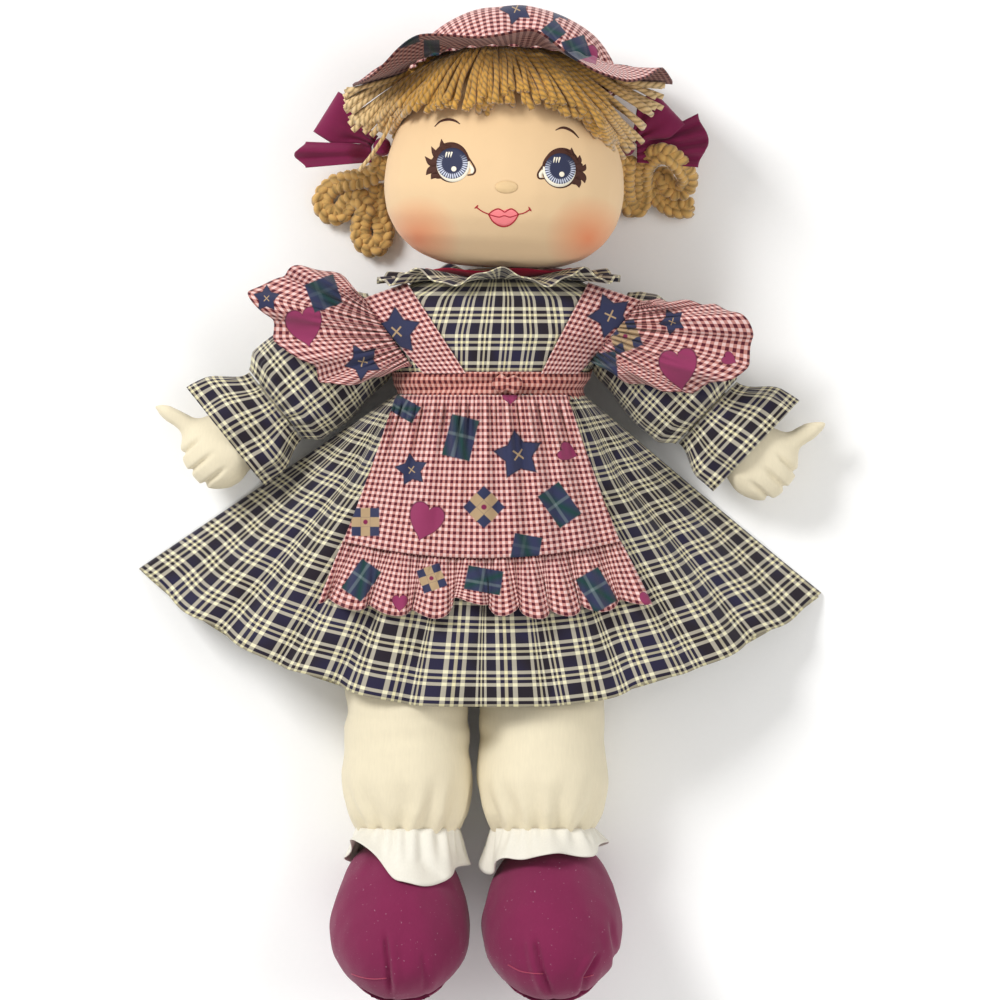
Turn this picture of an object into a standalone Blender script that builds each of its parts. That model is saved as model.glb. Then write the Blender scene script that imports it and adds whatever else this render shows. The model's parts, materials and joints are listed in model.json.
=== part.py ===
"""A soft-bodied rag doll in a plaid dress, pinafore, sun hat and stuffed shoes, lying on its back.

Metres. +Z is up, out of the chest; +Y runs to the head; +X is to the right, seen from above.
The origin is the middle of the back of the dress, on the surface that the doll lies on.
"""

import bmesh
import bpy
from math import atan2, cos, hypot, pi, radians, sin, sqrt
from mathutils import Matrix, Vector

# Clearances and cloth
GAP = 0.0004
CLOTH = 0.0012
SEAT_CUT = 0.0005
FOLD_CLEARANCE = 0.0012

# Torso, by heights above and below the origin
NECK_RISE = 0.030
SHOULDER_RISE = 0.022
WAIST_DROP = 0.034
HIP_DROP = 0.066
SEAT_DROP = 0.096
SEAT_ROUNDING = 0.012
TORSO_DEPTH = 0.086
NECKLINE_WIDTH = 0.084
NECKLINE_DEPTH = 0.046
SHOULDER_WIDTH = 0.150
SHOULDER_DEPTH = 0.070
CHEST_WIDTH = 0.138
WAIST_WIDTH = 0.106
WAIST_DEPTH = 0.078
HIP_WIDTH = 0.130
HIP_DEPTH = 0.080
SEAT_WIDTH = 0.122
SEAT_DEPTH = 0.060
LEAN_SHARE = 0.082
TORSO_SIDES = 22

# Head and neck
NECK_DIAMETER = 0.044
HEAD_WIDTH = 0.147
HEAD_DEPTH = 0.125
HEAD_HEIGHT = 0.144
CHIN_RISE = 0.041
HEAD_TILT_DEG = -3.0
CROWN_POWER = 0.64
FULLNESS_POWER = 0.5
CHIN_SET_SHARE = 0.75
HEAD_RINGS = 11
HEAD_SIDES = 24
STITCHING = 0.0008
FACE_SHIFT = 0.0015
EYE_SPACING = 0.0666
EYE_RISE = 0.0676
EYE_WIDTH = 0.025
EYE_HEIGHT = 0.023
NOSE_RISE = 0.0564
NOSE_WIDTH = 0.0135
NOSE_HEIGHT = 0.0074
MOUTH_RISE = 0.0383
MOUTH_WIDTH = 0.019
MOUTH_HEIGHT = 0.0118
PATCH_SIDES = 12

# Hair
HAIR_THICKNESS = 0.008
HAIR_TEMPLE_RISE = 0.150
HAIR_TEMPLE_SETBACK = 0.010
HAIR_SLOPE_DEG = 28.0
HAIR_NAPE_RISE = 0.014
FRINGE_THICKNESS = 0.006
FRINGE_ROOT_RISE = 0.140
FRINGE_ROOT_SPREAD = 0.022
FRINGE_TIP_SPREAD = 0.092
FRINGE_TIP_RISE = 0.103
FRINGE_BOW = 0.010
FRINGE_TEMPLE_LIFT = 0.014
FRINGE_LIFT = 0.0015
FRINGE_SHIFT = 0.006
FRINGE_LOCKS = 9
FRINGE_LOCK_DEPTH = 0.004
CHAIN_DIAMETER = 0.0105
CHAIN_STEPS = 3

# Sun hat
HAT_X = 0.014
HAT_RISE = 0.157
HAT_FORWARD = 0.067
HAT_TILT_DEG = 20.0
HAT_ROLL_DEG = -2.0
HAT_WIDTH = 0.126
HAT_DEPTH = 0.112
CROWN_HEIGHT = 0.043
CROWN_GATHERS = 14
CROWN_GATHER_DEPTH = 0.0016
BRIM_WIDTH = 0.032
BRIM_DROOP_DEG = 8.0
BRIM_BACK_TURN_DEG = 92.0
BRIM_WAVE = 0.003
BRIM_WAVES = 7
BRIM_RIGHT_DIP = 0.017
BRIM_RIGHT_DIP_DEG = 38.0
BRIM_RIGHT_DIP_SPREAD_DEG = 32.0
BRIM_LEFT_DIP = 0.012
BRIM_LEFT_DIP_DEG = 282.0
BRIM_LEFT_DIP_SPREAD_DEG = 42.0

# Hair bows, by their knots
KNOT_RISE = 0.116
KNOT_HEIGHT = 0.038
KNOT_DIAMETER = 0.011
LEFT_KNOT_X = -0.0664
RIGHT_KNOT_X = 0.0839
LEFT_LOOP_LENGTH = 0.042
RIGHT_LOOP_LENGTH = 0.036
LOOP_WIDTH = 0.026
LOOP_DEPTH = 0.012
LEFT_TAIL_LENGTH = 0.047
RIGHT_TAIL_LENGTH = 0.041
LEFT_TAIL_WIDTH = 0.014
RIGHT_TAIL_WIDTH = 0.030
LEFT_TAIL_RISE = -0.005
RIGHT_TAIL_RISE = 0.003
TAIL_ROOT_WIDTH = 0.008
LEFT_LOOP_DEG = 32.0
RIGHT_LOOP_DEG = 43.0
TAIL_WAVE = 0.0022
TAIL_LIFT = 0.0095

# Arms, sleeves and cuffs
ARM_LENGTH = 0.133
ARM_ROOT_DIAMETER = 0.034
ARM_AXIS_HEIGHT = 0.0298
WRIST_WIDTH = 0.040
WRIST_DEPTH = 0.026
HAND_WIDTH = 0.051
HAND_DEPTH = 0.034
HAND_LENGTH = 0.050
THUMB_LENGTH = 0.026
THUMB_DIAMETER = 0.0135
THUMB_SPREAD_DEG = 68.0
ARM_SIDES = 16
SLEEVE_SIDES = 18
SLEEVE_LENGTH = 0.062
SLEEVE_WIDTH = 0.068
SLEEVE_DEPTH = 0.0605
ARMHOLE_WIDTH = 0.050
ARMHOLE_DEPTH = 0.050
GATHER_WIDTH = 0.052
GATHER_DEPTH = 0.038
CUFF_LENGTH = 0.036
CUFF_WIDTH = 0.075
CUFF_DEPTH = 0.044
CUFF_WAVE = 0.0022
CUFF_WAVES = 7
CUFF_RISE = 0.005
LEFT_ARM_TUCK = 0.001
RIGHT_ARM_TUCK = 0.0004
SHOULDER_DROP = 0.004
LEFT_ARM_DROP_DEG = 38.5
RIGHT_ARM_DROP_DEG = 43.5

# Collar and the facing under it
COLLAR_WIDTH = 0.150
COLLAR_DEPTH = 0.094
COLLAR_BACK_DEPTH = 0.080
COLLAR_WAVE = 0.0052
COLLAR_WAVES = 9
COLLAR_LIFT = 0.0022
TRIM_WIDTH = 0.092
TRIM_DEPTH = 0.060
TRIM_WAVES = 6
TRIM_WAVE = 0.0005

# Dress skirt, a flattened two-layer fan
SKIRT_LENGTH = 0.194
SKIRT_LEFT_SPREAD_DEG = 56.0
SKIRT_RIGHT_SPREAD_DEG = 50.0
SKIRT_TOP_CLEARANCE = 0.0215
SKIRT_HEM_CLEARANCE = 0.0155
SKIRT_SETTLE = 0.060
SKIRT_FOLDS = 11
SKIRT_FOLD_DEPTH = 0.0055
SKIRT_BACK_FOLD_DEPTH = 0.0030
SKIRT_BACK_SPREAD_SHARE = 0.97
SKIRT_COLUMNS = 33
SKIRT_ROWS = 6
SKIRT_ROW_POWER = 1.4

# Pinafore
BAND_WIDTH = 0.0155
KNOT_TWIST_LENGTH = 0.024
KNOT_TWIST_WIDTH = 0.010
KNOT_TWIST_DEPTH = 0.007
STRAP_TOP_INNER = 0.052
STRAP_TOP_OUTER = 0.074
STRAP_FOOT_INNER = 0.020
STRAP_FOOT_OUTER = 0.050
APRON_LENGTH = 0.100
APRON_RUFFLE_LENGTH = 0.036
APRON_TOP_HALF = 0.051
APRON_FOOT_HALF = 0.091
APRON_FOOT_SHIFT = -0.010
APRON_FOLDS = 8
APRON_FOLD_DEPTH = 0.0034
RUFFLE_FOLDS = 13
RUFFLE_FOLD_DEPTH = 0.0075
RUFFLE_FLARE = 0.006
LEFT_FRILL_REACH = 0.086
LEFT_FRILL_FOOT_REACH = 0.034
LEFT_FRILL_FAN_DEG = (-34.0, 34.0)
RIGHT_FRILL_REACH = 0.092
RIGHT_FRILL_FOOT_REACH = 0.052
RIGHT_FRILL_FAN_DEG = (-2.0, 24.0)
FRILL_START = 0.3
FRILL_ROOT_SHARE = 0.93
FRILL_HEIGHT = 0.0715
FRILL_WAVE = 0.0042
FRILL_WAVES = 4
FRILL_OVERHANG = 0.006

# Legs, frills and shoes
LEG_DIAMETER = 0.0765
LEG_TOP_SHARE = 0.915
LEG_SPACING = 0.083
LEGS_X = -0.0095
LEG_REACH = 0.206
ANKLE_DIAMETER = 0.058
ANKLE_GATHER = 0.026
LEG_SIDES = 18
ANKLE_FRILL_WIDTH = 0.0735
ANKLE_FRILL_DROP = 0.018
ANKLE_FRILL_FRONT_DROP = 0.010
ANKLE_FRILL_FRONT_REACH = 0.012
ANKLE_FRILL_WAVE = 0.0026
ANKLE_FRILL_WAVES = 8
SHOE_LENGTH = 0.124
SHOE_WIDTH = 0.088
SHOE_THICKNESS = 0.080
SHOE_PITCH_DEG = 35.0
SHOE_OVERLAP = 0.0175
LEFT_SHOE_SPLAY = 0.004
RIGHT_SHOE_SPLAY = 0.006
SOLE_THICKNESS = 0.017
SHOE_SIDES = 20
SHOE_RINGS = 12

# Colours, red green blue
MUSLIN = (0.80, 0.72, 0.52)
PEACH = (0.87, 0.66, 0.46)
YARN = (0.52, 0.32, 0.10)
PLAID = (0.035, 0.035, 0.05)
GINGHAM = (0.52, 0.21, 0.19)
BURGUNDY = (0.20, 0.015, 0.075)
WHITE_COTTON = (0.86, 0.84, 0.76)
NAVY = (0.035, 0.045, 0.12)
PINK = (0.80, 0.22, 0.22)

# Places that several pieces share
BODY_AXIS = TORSO_DEPTH / 2 + GAP + CLOTH - SEAT_CUT
HEAD_AXIS = HEAD_DEPTH / 2 + GAP + HAIR_THICKNESS - SEAT_CUT
NECK_PIVOT_RISE = (NECK_RISE + CHIN_RISE) / 2
FRONT = Vector((0, 0, 1))
ACROSS = Vector((1, 0, 0))
UPWARD = Vector((0, 1, 0))


def paint(name, colour, roughness):
    """A cloth or yarn material with one colour."""
    material = bpy.data.materials.get(name)
    if material is None:
        material = bpy.data.materials.new(name)
        material.use_nodes = True
        shader = material.node_tree.nodes["Principled BSDF"]
        shader.inputs["Base Color"].default_value = (*colour, 1)
        shader.inputs["Roughness"].default_value = roughness
        shader.inputs["Metallic"].default_value = 0
    return material


def ease(share):
    """A share from 0 to 1, eased at both ends."""
    share = min(max(share, 0), 1)
    return share * share * (3 - 2 * share)


def mix(start, end, share):
    return start + (end - start) * share


def ring(centre, normal, wide, half_wide, half_deep):
    """The place of one loop of a loft, a unit circle stretched along wide and across it."""
    normal = normal.normalized()
    wide = (wide - normal * wide.dot(normal)).normalized()
    deep = normal.cross(wide)
    columns = (wide * half_wide, deep * half_deep, normal)
    return Matrix.Translation(centre) @ Matrix(columns).transposed().to_4x4()


def loft(rings, sides, closed=False):
    """A skin through a row of rings, capped at both ends, or closed from the last ring to the first."""
    bm = bmesh.new()
    bmesh.ops.create_circle(bm, cap_ends=not closed, segments=sides, radius=1, matrix=rings[0])
    first = bm.edges[:]
    edges = first
    for before, after in zip(rings, rings[1:]):
        grown = bmesh.ops.extrude_edge_only(bm, edges=edges)["geom"]
        points = {item for item in grown if isinstance(item, bmesh.types.BMVert)}
        lines = [item for item in grown if isinstance(item, bmesh.types.BMEdge)]
        edges = [line for line in lines if points.issuperset(line.verts)]
        bmesh.ops.transform(bm, matrix=after @ before.inverted(), verts=list(points))
    if closed:
        bmesh.ops.bridge_loops(bm, edges=first + edges)
    else:
        bmesh.ops.contextual_create(bm, geom=edges)
    walls = [face for face in bm.faces if len(face.verts) == 4]
    bmesh.ops.triangulate(bm, faces=walls, quad_method="SHORT_EDGE")
    bmesh.ops.recalc_face_normals(bm, faces=bm.faces)
    return bm


def keep_below(bm, point, direction):
    """Cuts a closed skin by a plane, drops what lies along direction and fills the cut."""
    everything = bm.verts[:] + bm.edges[:] + bm.faces[:]
    cut = bmesh.ops.bisect_plane(
        bm, geom=everything, plane_co=point, plane_no=direction, clear_outer=True
    )["geom_cut"]
    edges = [item for item in cut if isinstance(item, bmesh.types.BMEdge)]
    filled = bmesh.ops.holes_fill(bm, edges=edges)["faces"]
    bmesh.ops.triangulate(bm, faces=filled)
    bmesh.ops.recalc_face_normals(bm, faces=bm.faces)


def lay_flat(bm, height=0):
    """The flat that a soft form takes where it lies."""
    keep_below(bm, Vector((0, 0, height)), -FRONT)


def place_object(bm, name, material, parent=None):
    mesh = bpy.data.meshes.new(name)
    bm.to_mesh(mesh)
    bm.free()
    mesh.shade_smooth()
    mesh.set_sharp_from_angle(angle=radians(50))
    mesh.materials.append(material)
    made = bpy.data.objects.new(name, mesh)
    bpy.context.scene.collection.objects.link(made)
    hang(made, parent)
    return made


def hang(made, parent):
    """Parents a piece to its joint's empty and leaves it where it is."""
    if parent is not None:
        made.parent = parent
        made.matrix_parent_inverse = parent.matrix_world.inverted()


def pivot(name, place, parent=None):
    empty = bpy.data.objects.new(name, None)
    bpy.context.scene.collection.objects.link(empty)
    empty.location = place
    bpy.context.view_layer.update()
    hang(empty, parent)
    bpy.context.view_layer.update()
    return empty


def sheet(name, columns, rows, place, material, parent=None, around=False, outward=True, tilt=None):
    """A cloth of one thickness whose points are given by place(across share, along share)."""
    bm = bmesh.new()
    bmesh.ops.create_grid(bm, x_segments=columns, y_segments=rows, size=1)
    for vert in bm.verts:
        vert.co = place((vert.co.x + 1) / 2, (vert.co.y + 1) / 2)
    if around:
        bmesh.ops.remove_doubles(bm, verts=bm.verts, dist=GAP / 10)
    if tilt is not None:
        bmesh.ops.transform(bm, matrix=tilt, verts=bm.verts)
    made = place_object(bm, name, material, parent)
    wall = made.modifiers.new("cloth", "SOLIDIFY")
    wall.thickness = CLOTH
    wall.offset = 1 if outward else -1
    return made


def ellipsoid(centre, axes, sides, rows):
    """A round form with three half axes, given as vectors."""
    bm = bmesh.new()
    frame = Matrix.Translation(centre) @ Matrix(axes).transposed().to_4x4()
    bmesh.ops.create_uvsphere(bm, u_segments=sides, v_segments=rows, radius=1, matrix=frame)
    bmesh.ops.recalc_face_normals(bm, faces=bm.faces)
    return bm


def cut_away(made, cutter_bm, name):
    """Takes a hidden cutter away from a piece."""
    cutter = place_object(cutter_bm, name, paint("cutter", WHITE_COTTON, 1))
    cutter.hide_render = True
    cutter.display_type = "WIRE"
    cut = made.modifiers.new(name, "BOOLEAN")
    cut.operation = "DIFFERENCE"
    cut.object = cutter


# Torso and bodice


def torso_stations():
    """Height, half width and half depth down the torso."""
    return [
        (NECK_RISE, NECKLINE_WIDTH / 2, NECKLINE_DEPTH / 2),
        (SHOULDER_RISE, SHOULDER_WIDTH / 2, SHOULDER_DEPTH / 2),
        (0, CHEST_WIDTH / 2, TORSO_DEPTH / 2),
        (-WAIST_DROP, WAIST_WIDTH / 2, WAIST_DEPTH / 2),
        (-HIP_DROP, HIP_WIDTH / 2, HIP_DEPTH / 2),
        (-SEAT_DROP + SEAT_ROUNDING, SEAT_WIDTH / 2, HIP_DEPTH / 2),
        (-SEAT_DROP, SEAT_WIDTH / 2 - SEAT_ROUNDING / 2, SEAT_DEPTH / 2),
    ]


def torso_grid():
    """Heights of the torso's rings: the stations and the middles between them."""
    heights = [station[0] for station in torso_stations()]
    middles = [(upper + lower) / 2 for upper, lower in zip(heights, heights[1:])]
    return sorted(heights + middles, reverse=True)


def torso_curve(height):
    """Half width and half depth at a height, eased from station to station."""
    stations = torso_stations()
    for upper, lower in zip(stations, stations[1:]):
        if height >= lower[0]:
            share = (upper[0] - height) / (upper[0] - lower[0])
            share = mix(share, ease(share), 1 / 2)
            return mix(upper[1], lower[1], share), mix(upper[2], lower[2], share)
    return stations[-1][1:]


def torso_at(height):
    """Half width and half depth on the facets between two rings, so that every layer has the same facets."""
    heights = torso_grid()
    for upper, lower in zip(heights, heights[1:]):
        if height >= lower:
            share = (upper - height) / (upper - lower)
            above = torso_curve(upper)
            below = torso_curve(lower)
            return mix(above[0], below[0], share), mix(above[1], below[1], share)
    return torso_curve(heights[-1])


def spine_x(height):
    return LEAN_SHARE * (height + WAIST_DROP)


def torso_rings(top, foot, growth=0):
    """Rings between two heights; grown ones also rise where the shoulders slope."""
    inner = [height for height in torso_grid() if foot + GAP < height < top - GAP]
    rings = []
    for height in [top] + inner + [foot]:
        half_wide, half_deep = torso_at(height)
        rise = growth * ease(height / SHOULDER_RISE)
        centre = Vector((spine_x(height), height + rise, BODY_AXIS))
        rings.append(ring(centre, -UPWARD, ACROSS, half_wide + growth, half_deep + growth))
    return rings


def torso_layer(top, foot, inner_growth):
    """A cloth tube round the torso, with its inside grown by inner_growth."""
    inner = torso_rings(top, foot, inner_growth)
    outer = torso_rings(top, foot, inner_growth + CLOTH)
    return loft(outer + inner[::-1], TORSO_SIDES, closed=True)


def make_torso(material):
    bm = loft(torso_rings(NECK_RISE, -SEAT_DROP), TORSO_SIDES)
    return place_object(bm, "torso", material)


def shoulder_pivot(side):
    """The middle of an armhole seam; side is -1 for the left of the view and 1 for the right."""
    height = -SHOULDER_DROP
    tuck = LEFT_ARM_TUCK if side < 0 else RIGHT_ARM_TUCK
    half_wide = torso_at(height)[0] + 2 * GAP + CLOTH + ARM_ROOT_DIAMETER / 2 - tuck
    return Vector((spine_x(height) + side * half_wide, height, ARM_AXIS_HEIGHT))


def seam_direction(side):
    """Along the armhole seam, from the underarm up to the shoulder."""
    rise = SHOULDER_RISE + WAIST_DROP
    inset = (SHOULDER_WIDTH - WAIST_WIDTH) / 2
    return Vector((side * inset + LEAN_SHARE * rise, rise, 0)).normalized()


def arm_direction(side):
    drop = radians(LEFT_ARM_DROP_DEG if side < 0 else RIGHT_ARM_DROP_DEG)
    return Vector((side * cos(drop), -sin(drop), 0))


def make_bodice(material):
    bm = torso_layer(NECK_RISE - GAP, -WAIST_DROP, GAP)
    lay_flat(bm)
    return place_object(bm, "bodice", material)


# Head, neck and face


def head_profile(share):
    """The part of its full breadth that the head has at a share of its height."""
    return sin(pi * share**CROWN_POWER) ** FULLNESS_POWER


def head_shares():
    """Height shares of the head's rings, closer together at the chin and the crown."""
    return [(1 - cos(pi * (count + 1) / (HEAD_RINGS + 2))) / 2 for count in range(HEAD_RINGS + 1)]


def head_centre(share):
    """The middle of the head at a share of its height, before the head is tilted; the chin is set back."""
    rising = share**CROWN_POWER < 1 / 2
    set_back = CHIN_SET_SHARE * (1 - head_profile(share)) * HEAD_DEPTH / 2 if rising else 0
    return Vector((spine_x(NECK_PIVOT_RISE), CHIN_RISE + share * HEAD_HEIGHT, HEAD_AXIS - set_back))


def head_rings(growth=0, top_growth=0):
    rings = []
    shares = head_shares()
    for share in shares:
        breadth = head_profile(share)
        centre = head_centre(share) + UPWARD * top_growth * (share - shares[0])
        half_wide = breadth * HEAD_WIDTH / 2 + growth
        half_deep = breadth * HEAD_DEPTH / 2 + growth
        rings.append(ring(centre, -UPWARD, ACROSS, half_wide, half_deep))
    return rings


def head_layer(inner_growth, thickness):
    """A cloth or yarn tube round the head, open at the crown and the chin."""
    inner = head_rings(inner_growth, inner_growth)[:-2]
    outer = head_rings(inner_growth + thickness, inner_growth + thickness)[:-2]
    return loft(outer + inner[::-1], HEAD_SIDES, closed=True)


def head_tilt():
    """Turns the head about the neck pivot by its lean."""
    centre = neck_pivot()
    turn = Matrix.Rotation(radians(HEAD_TILT_DEG), 4, "Z")
    return Matrix.Translation(centre) @ turn @ Matrix.Translation(-centre)


def neck_pivot():
    return Vector((spine_x(NECK_PIVOT_RISE), NECK_PIVOT_RISE, BODY_AXIS))


def head_front(x, height, growth=0):
    """Height above the surface of the head's front at a place, before the tilt."""
    share = min(max((height - CHIN_RISE) / HEAD_HEIGHT, 0), 1)
    breadth = max(head_profile(share), 0)
    half_wide = breadth * HEAD_WIDTH / 2 + growth
    half_deep = breadth * HEAD_DEPTH / 2 + growth
    centre = head_centre(share)
    inside = max(1 - ((x - centre.x) / max(half_wide, GAP)) ** 2, 0)
    return centre.z + half_deep * sqrt(inside)


def make_neck(material, parent):
    foot = neck_pivot()
    foot.y = NECK_RISE + GAP
    top = neck_pivot()
    slack = NECK_DIAMETER / 2 * sin(radians(abs(HEAD_TILT_DEG)))
    top.y = head_rings()[0].translation.y - GAP - slack
    rings = [
        ring(foot, UPWARD, ACROSS, NECK_DIAMETER / 2, NECK_DIAMETER / 2),
        ring(top, UPWARD, ACROSS, NECK_DIAMETER / 2, NECK_DIAMETER / 2),
    ]
    return place_object(loft(rings, TORSO_SIDES), "neck", material, parent)


def make_head(material, parent):
    bm = loft(head_rings(), HEAD_SIDES)
    bmesh.ops.transform(bm, matrix=head_tilt(), verts=bm.verts)
    return place_object(bm, "head", material, parent)


def make_face_patch(name, x, rise, wide, high, material, parent):
    """A stitched patch that follows the head's front inside an oval outline."""
    bm = head_layer(3 * GAP / 2, STITCHING)
    centre = Vector((spine_x(NECK_PIVOT_RISE) + x, NECK_PIVOT_RISE + rise, HEAD_AXIS))
    keep_below(bm, centre, -FRONT)
    for count in range(PATCH_SIDES):
        angle = 2 * pi * (count + 1 / 2) / PATCH_SIDES
        outward = Vector((cos(angle) / wide, sin(angle) / high, 0)).normalized()
        edge = Vector((cos(angle) * wide / 2, sin(angle) * high / 2, 0))
        keep_below(bm, centre + edge, outward)
    bmesh.ops.transform(bm, matrix=head_tilt(), verts=bm.verts)
    return place_object(bm, name, material, parent)


def make_face(parent):
    for name, side in (("eye_left", -1), ("eye_right", 1)):
        x = FACE_SHIFT + side * EYE_SPACING / 2
        navy = paint("eye_navy", NAVY, 0.4)
        make_face_patch(name, x, EYE_RISE, EYE_WIDTH, EYE_HEIGHT, navy, parent)
    thread = paint("nose_thread", PEACH, 0.7)
    make_face_patch("nose", FACE_SHIFT, NOSE_RISE, NOSE_WIDTH, NOSE_HEIGHT, thread, parent)
    pink = paint("lip_pink", PINK, 0.6)
    make_face_patch("mouth", FACE_SHIFT, MOUTH_RISE, MOUTH_WIDTH, MOUTH_HEIGHT, pink, parent)


# Hair


def make_hair_back(material, parent):
    """The yarn that covers the back and the sides of the head."""
    bm = head_layer(GAP, HAIR_THICKNESS)
    slope = radians(HAIR_SLOPE_DEG)
    temple = Vector((0, HAIR_TEMPLE_RISE, HEAD_AXIS - HAIR_TEMPLE_SETBACK))
    keep_below(bm, temple, Vector((0, -sin(slope), cos(slope))))
    keep_below(bm, Vector((0, CHIN_RISE + HAIR_NAPE_RISE, 0)), -UPWARD)
    bmesh.ops.transform(bm, matrix=head_tilt(), verts=bm.verts)
    brim = hat_frame()
    keep_below(bm, brim @ (-FRONT * (GAP + CLOTH)), (brim.to_3x3() @ FRONT))
    lay_flat(bm)
    return place_object(bm, "hair_back", material, parent)


def fringe_point(across, along):
    """The fringe fans out from a short parting and hangs in locks down to the brow."""
    side = 2 * across - 1
    breadth = mix(FRINGE_ROOT_SPREAD, FRINGE_TIP_SPREAD, along)
    x = spine_x(NECK_PIVOT_RISE) + FRINGE_SHIFT + side * breadth
    bow = FRINGE_TEMPLE_LIFT * ease(3 * abs(side) - 2) - FRINGE_BOW * ease(abs(side) * 3 / 2)
    locks = FRINGE_LOCK_DEPTH * cos(2 * pi * FRINGE_LOCKS * across)
    rise = mix(FRINGE_ROOT_RISE - FRINGE_LIFT, FRINGE_TIP_RISE + bow - locks, along)
    height = NECK_PIVOT_RISE + rise
    lift = GAP + 3 * FOLD_CLEARANCE + FRINGE_LIFT * along
    return Vector((x, height, head_front(x, height, lift) + FRINGE_LIFT))


def make_hair_fringe(material, parent):
    fringe = sheet(
        "hair_fringe", 3 * FRINGE_LOCKS, 4, fringe_point, material, parent, outward=False, tilt=head_tilt()
    )
    fringe.modifiers["cloth"].thickness = FRINGE_THICKNESS
    return fringe


def smooth_route(points, steps):
    """A smooth curve through hand-set points."""
    route = []
    padded = [points[0] * 2 - points[1]] + points + [points[-1] * 2 - points[-2]]
    for a, b, c, d in zip(padded, padded[1:], padded[2:], padded[3:]):
        for count in range(steps):
            t = count / steps
            start_slope = (c - a) / 2
            end_slope = (d - b) / 2
            near = b * (1 - t) + c * t
            bend = start_slope * (1 - t) - end_slope * t - (c - b) * (1 - 2 * t)
            route.append(near + bend * t * (1 - t))
    return route + [points[-1]]


# The looped chains of the pigtails, millimetres from the knot of each bow: across, up, toward the viewer
LEFT_CHAIN = (
    (-1, -5, -7), (-19, -18, -16), (-30, -19, -23), (-40, -26, -28), (-43, -37, -30), (-36, -47, -30),
    (-25, -48, -30), (-17, -41, -30), (-12, -32, -26), (-5, -28, -22), (1, -34, -22), (2, -46, -26),
    (-1, -58, -30), (-9, -65, -30), (-17, -60, -30),
)
RIGHT_CHAIN = (
    (0, -4, -4), (-1, -16, -16), (-2, -27, -26), (1, -36, -30), (7, -38, -30), (11, -31, -30),
    (12, -19, -25), (19, -9, -19), (29, -8, -18), (36, -16, -22), (38, -28, -27), (34, -38, -30),
    (25, -40, -30),
)
MILLIMETRE = 0.001


def chain_route(knot, chain):
    points = [knot + Vector(step) * MILLIMETRE for step in chain]
    return smooth_route(points, CHAIN_STEPS)


def least_gap(route, diameter):
    """The least gap between stretches of a route that are not next to each other."""
    least = None
    for first, a in enumerate(route):
        walked = 0
        for second in range(first + 1, len(route)):
            walked += (route[second] - route[second - 1]).length
            gap = (route[second] - a).length - diameter
            if walked > 2 * diameter and (least is None or gap < least):
                least = gap
    return least


def make_pigtail(name, knot, chain, material, parent):
    route = chain_route(knot, chain)
    curve = bpy.data.curves.new(name, "CURVE")
    curve.dimensions = "3D"
    curve.bevel_depth = CHAIN_DIAMETER / 2
    curve.bevel_resolution = 1
    curve.use_fill_caps = True
    spline = curve.splines.new("POLY")
    spline.points.add(len(route) - 1)
    for point, place in zip(spline.points, route):
        point.co = (*place, 1)
    curve.materials.append(material)
    made = bpy.data.objects.new(name, curve)
    bpy.context.scene.collection.objects.link(made)
    hang(made, parent)
    print(name, "least gap to itself", round(least_gap(route, CHAIN_DIAMETER) / MILLIMETRE, 2), "mm")
    return made


# Hair bows


def bow_knot(side):
    return Vector((LEFT_KNOT_X if side < 0 else RIGHT_KNOT_X, KNOT_RISE, KNOT_HEIGHT))


def make_bow(side, word, material, parent):
    """A knot on the hair, a puffed loop above it and a pair of tails that lie outward."""
    knot = bow_knot(side)
    radius = KNOT_DIAMETER / 2
    axes = (ACROSS * radius, UPWARD * radius, FRONT * radius)
    place_object(ellipsoid(knot, axes, 12, 8), "bow_knot_" + word, material, parent)
    turn = radians(LEFT_LOOP_DEG if side < 0 else RIGHT_LOOP_DEG)
    lean = Vector((side * cos(turn), sin(turn), 0))
    across = Vector((sin(turn), -side * cos(turn), 0))
    length = LEFT_LOOP_LENGTH if side < 0 else RIGHT_LOOP_LENGTH
    centre = knot + lean * (radius + GAP + length / 2)
    loop_axes = (lean * length / 2, across * LOOP_WIDTH / 2, FRONT * LOOP_DEPTH / 2)
    place_object(ellipsoid(centre, loop_axes, 16, 10), "bow_loop_" + word, material, parent)

    rise = LEFT_TAIL_RISE if side < 0 else RIGHT_TAIL_RISE
    end_width = LEFT_TAIL_WIDTH if side < 0 else RIGHT_TAIL_WIDTH
    tail_length = LEFT_TAIL_LENGTH if side < 0 else RIGHT_TAIL_LENGTH

    def tail(across_share, along_share):
        width = mix(TAIL_ROOT_WIDTH, end_width, along_share)
        x = knot.x + side * (radius + GAP + CLOTH / 2 + tail_length * along_share)
        wave = TAIL_WAVE * cos(3 * pi * across_share) * along_share
        height = knot.y - radius * 3 / 4 + rise * along_share + width * (across_share - 1 / 2)
        return Vector((x, height, knot.z + wave + TAIL_LIFT * ease(3 * along_share)))

    sheet("bow_tail_" + word, 8, 4, tail, material, parent)


# Sun hat


def hat_frame():
    """The hat's own axes: Z along its crown, Y to its back."""
    centre = Vector((HAT_X, HAT_RISE, HAT_FORWARD))
    lean = Matrix.Rotation(radians(-90 - HAT_TILT_DEG), 4, "X")
    return Matrix.Translation(centre) @ Matrix.Rotation(radians(HAT_ROLL_DEG), 4, "Z") @ lean


def crown_rings(shrink):
    rings = []
    count = 5
    for step in range(count):
        angle = pi / 2 * step / count
        rise = (CROWN_HEIGHT - shrink) * sin(angle)
        half_wide = (HAT_WIDTH / 2 - shrink) * cos(angle)
        half_deep = (HAT_DEPTH / 2 - shrink) * cos(angle)
        rings.append(ring(FRONT * rise, FRONT, ACROSS, half_wide, half_deep))
    return rings


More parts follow.
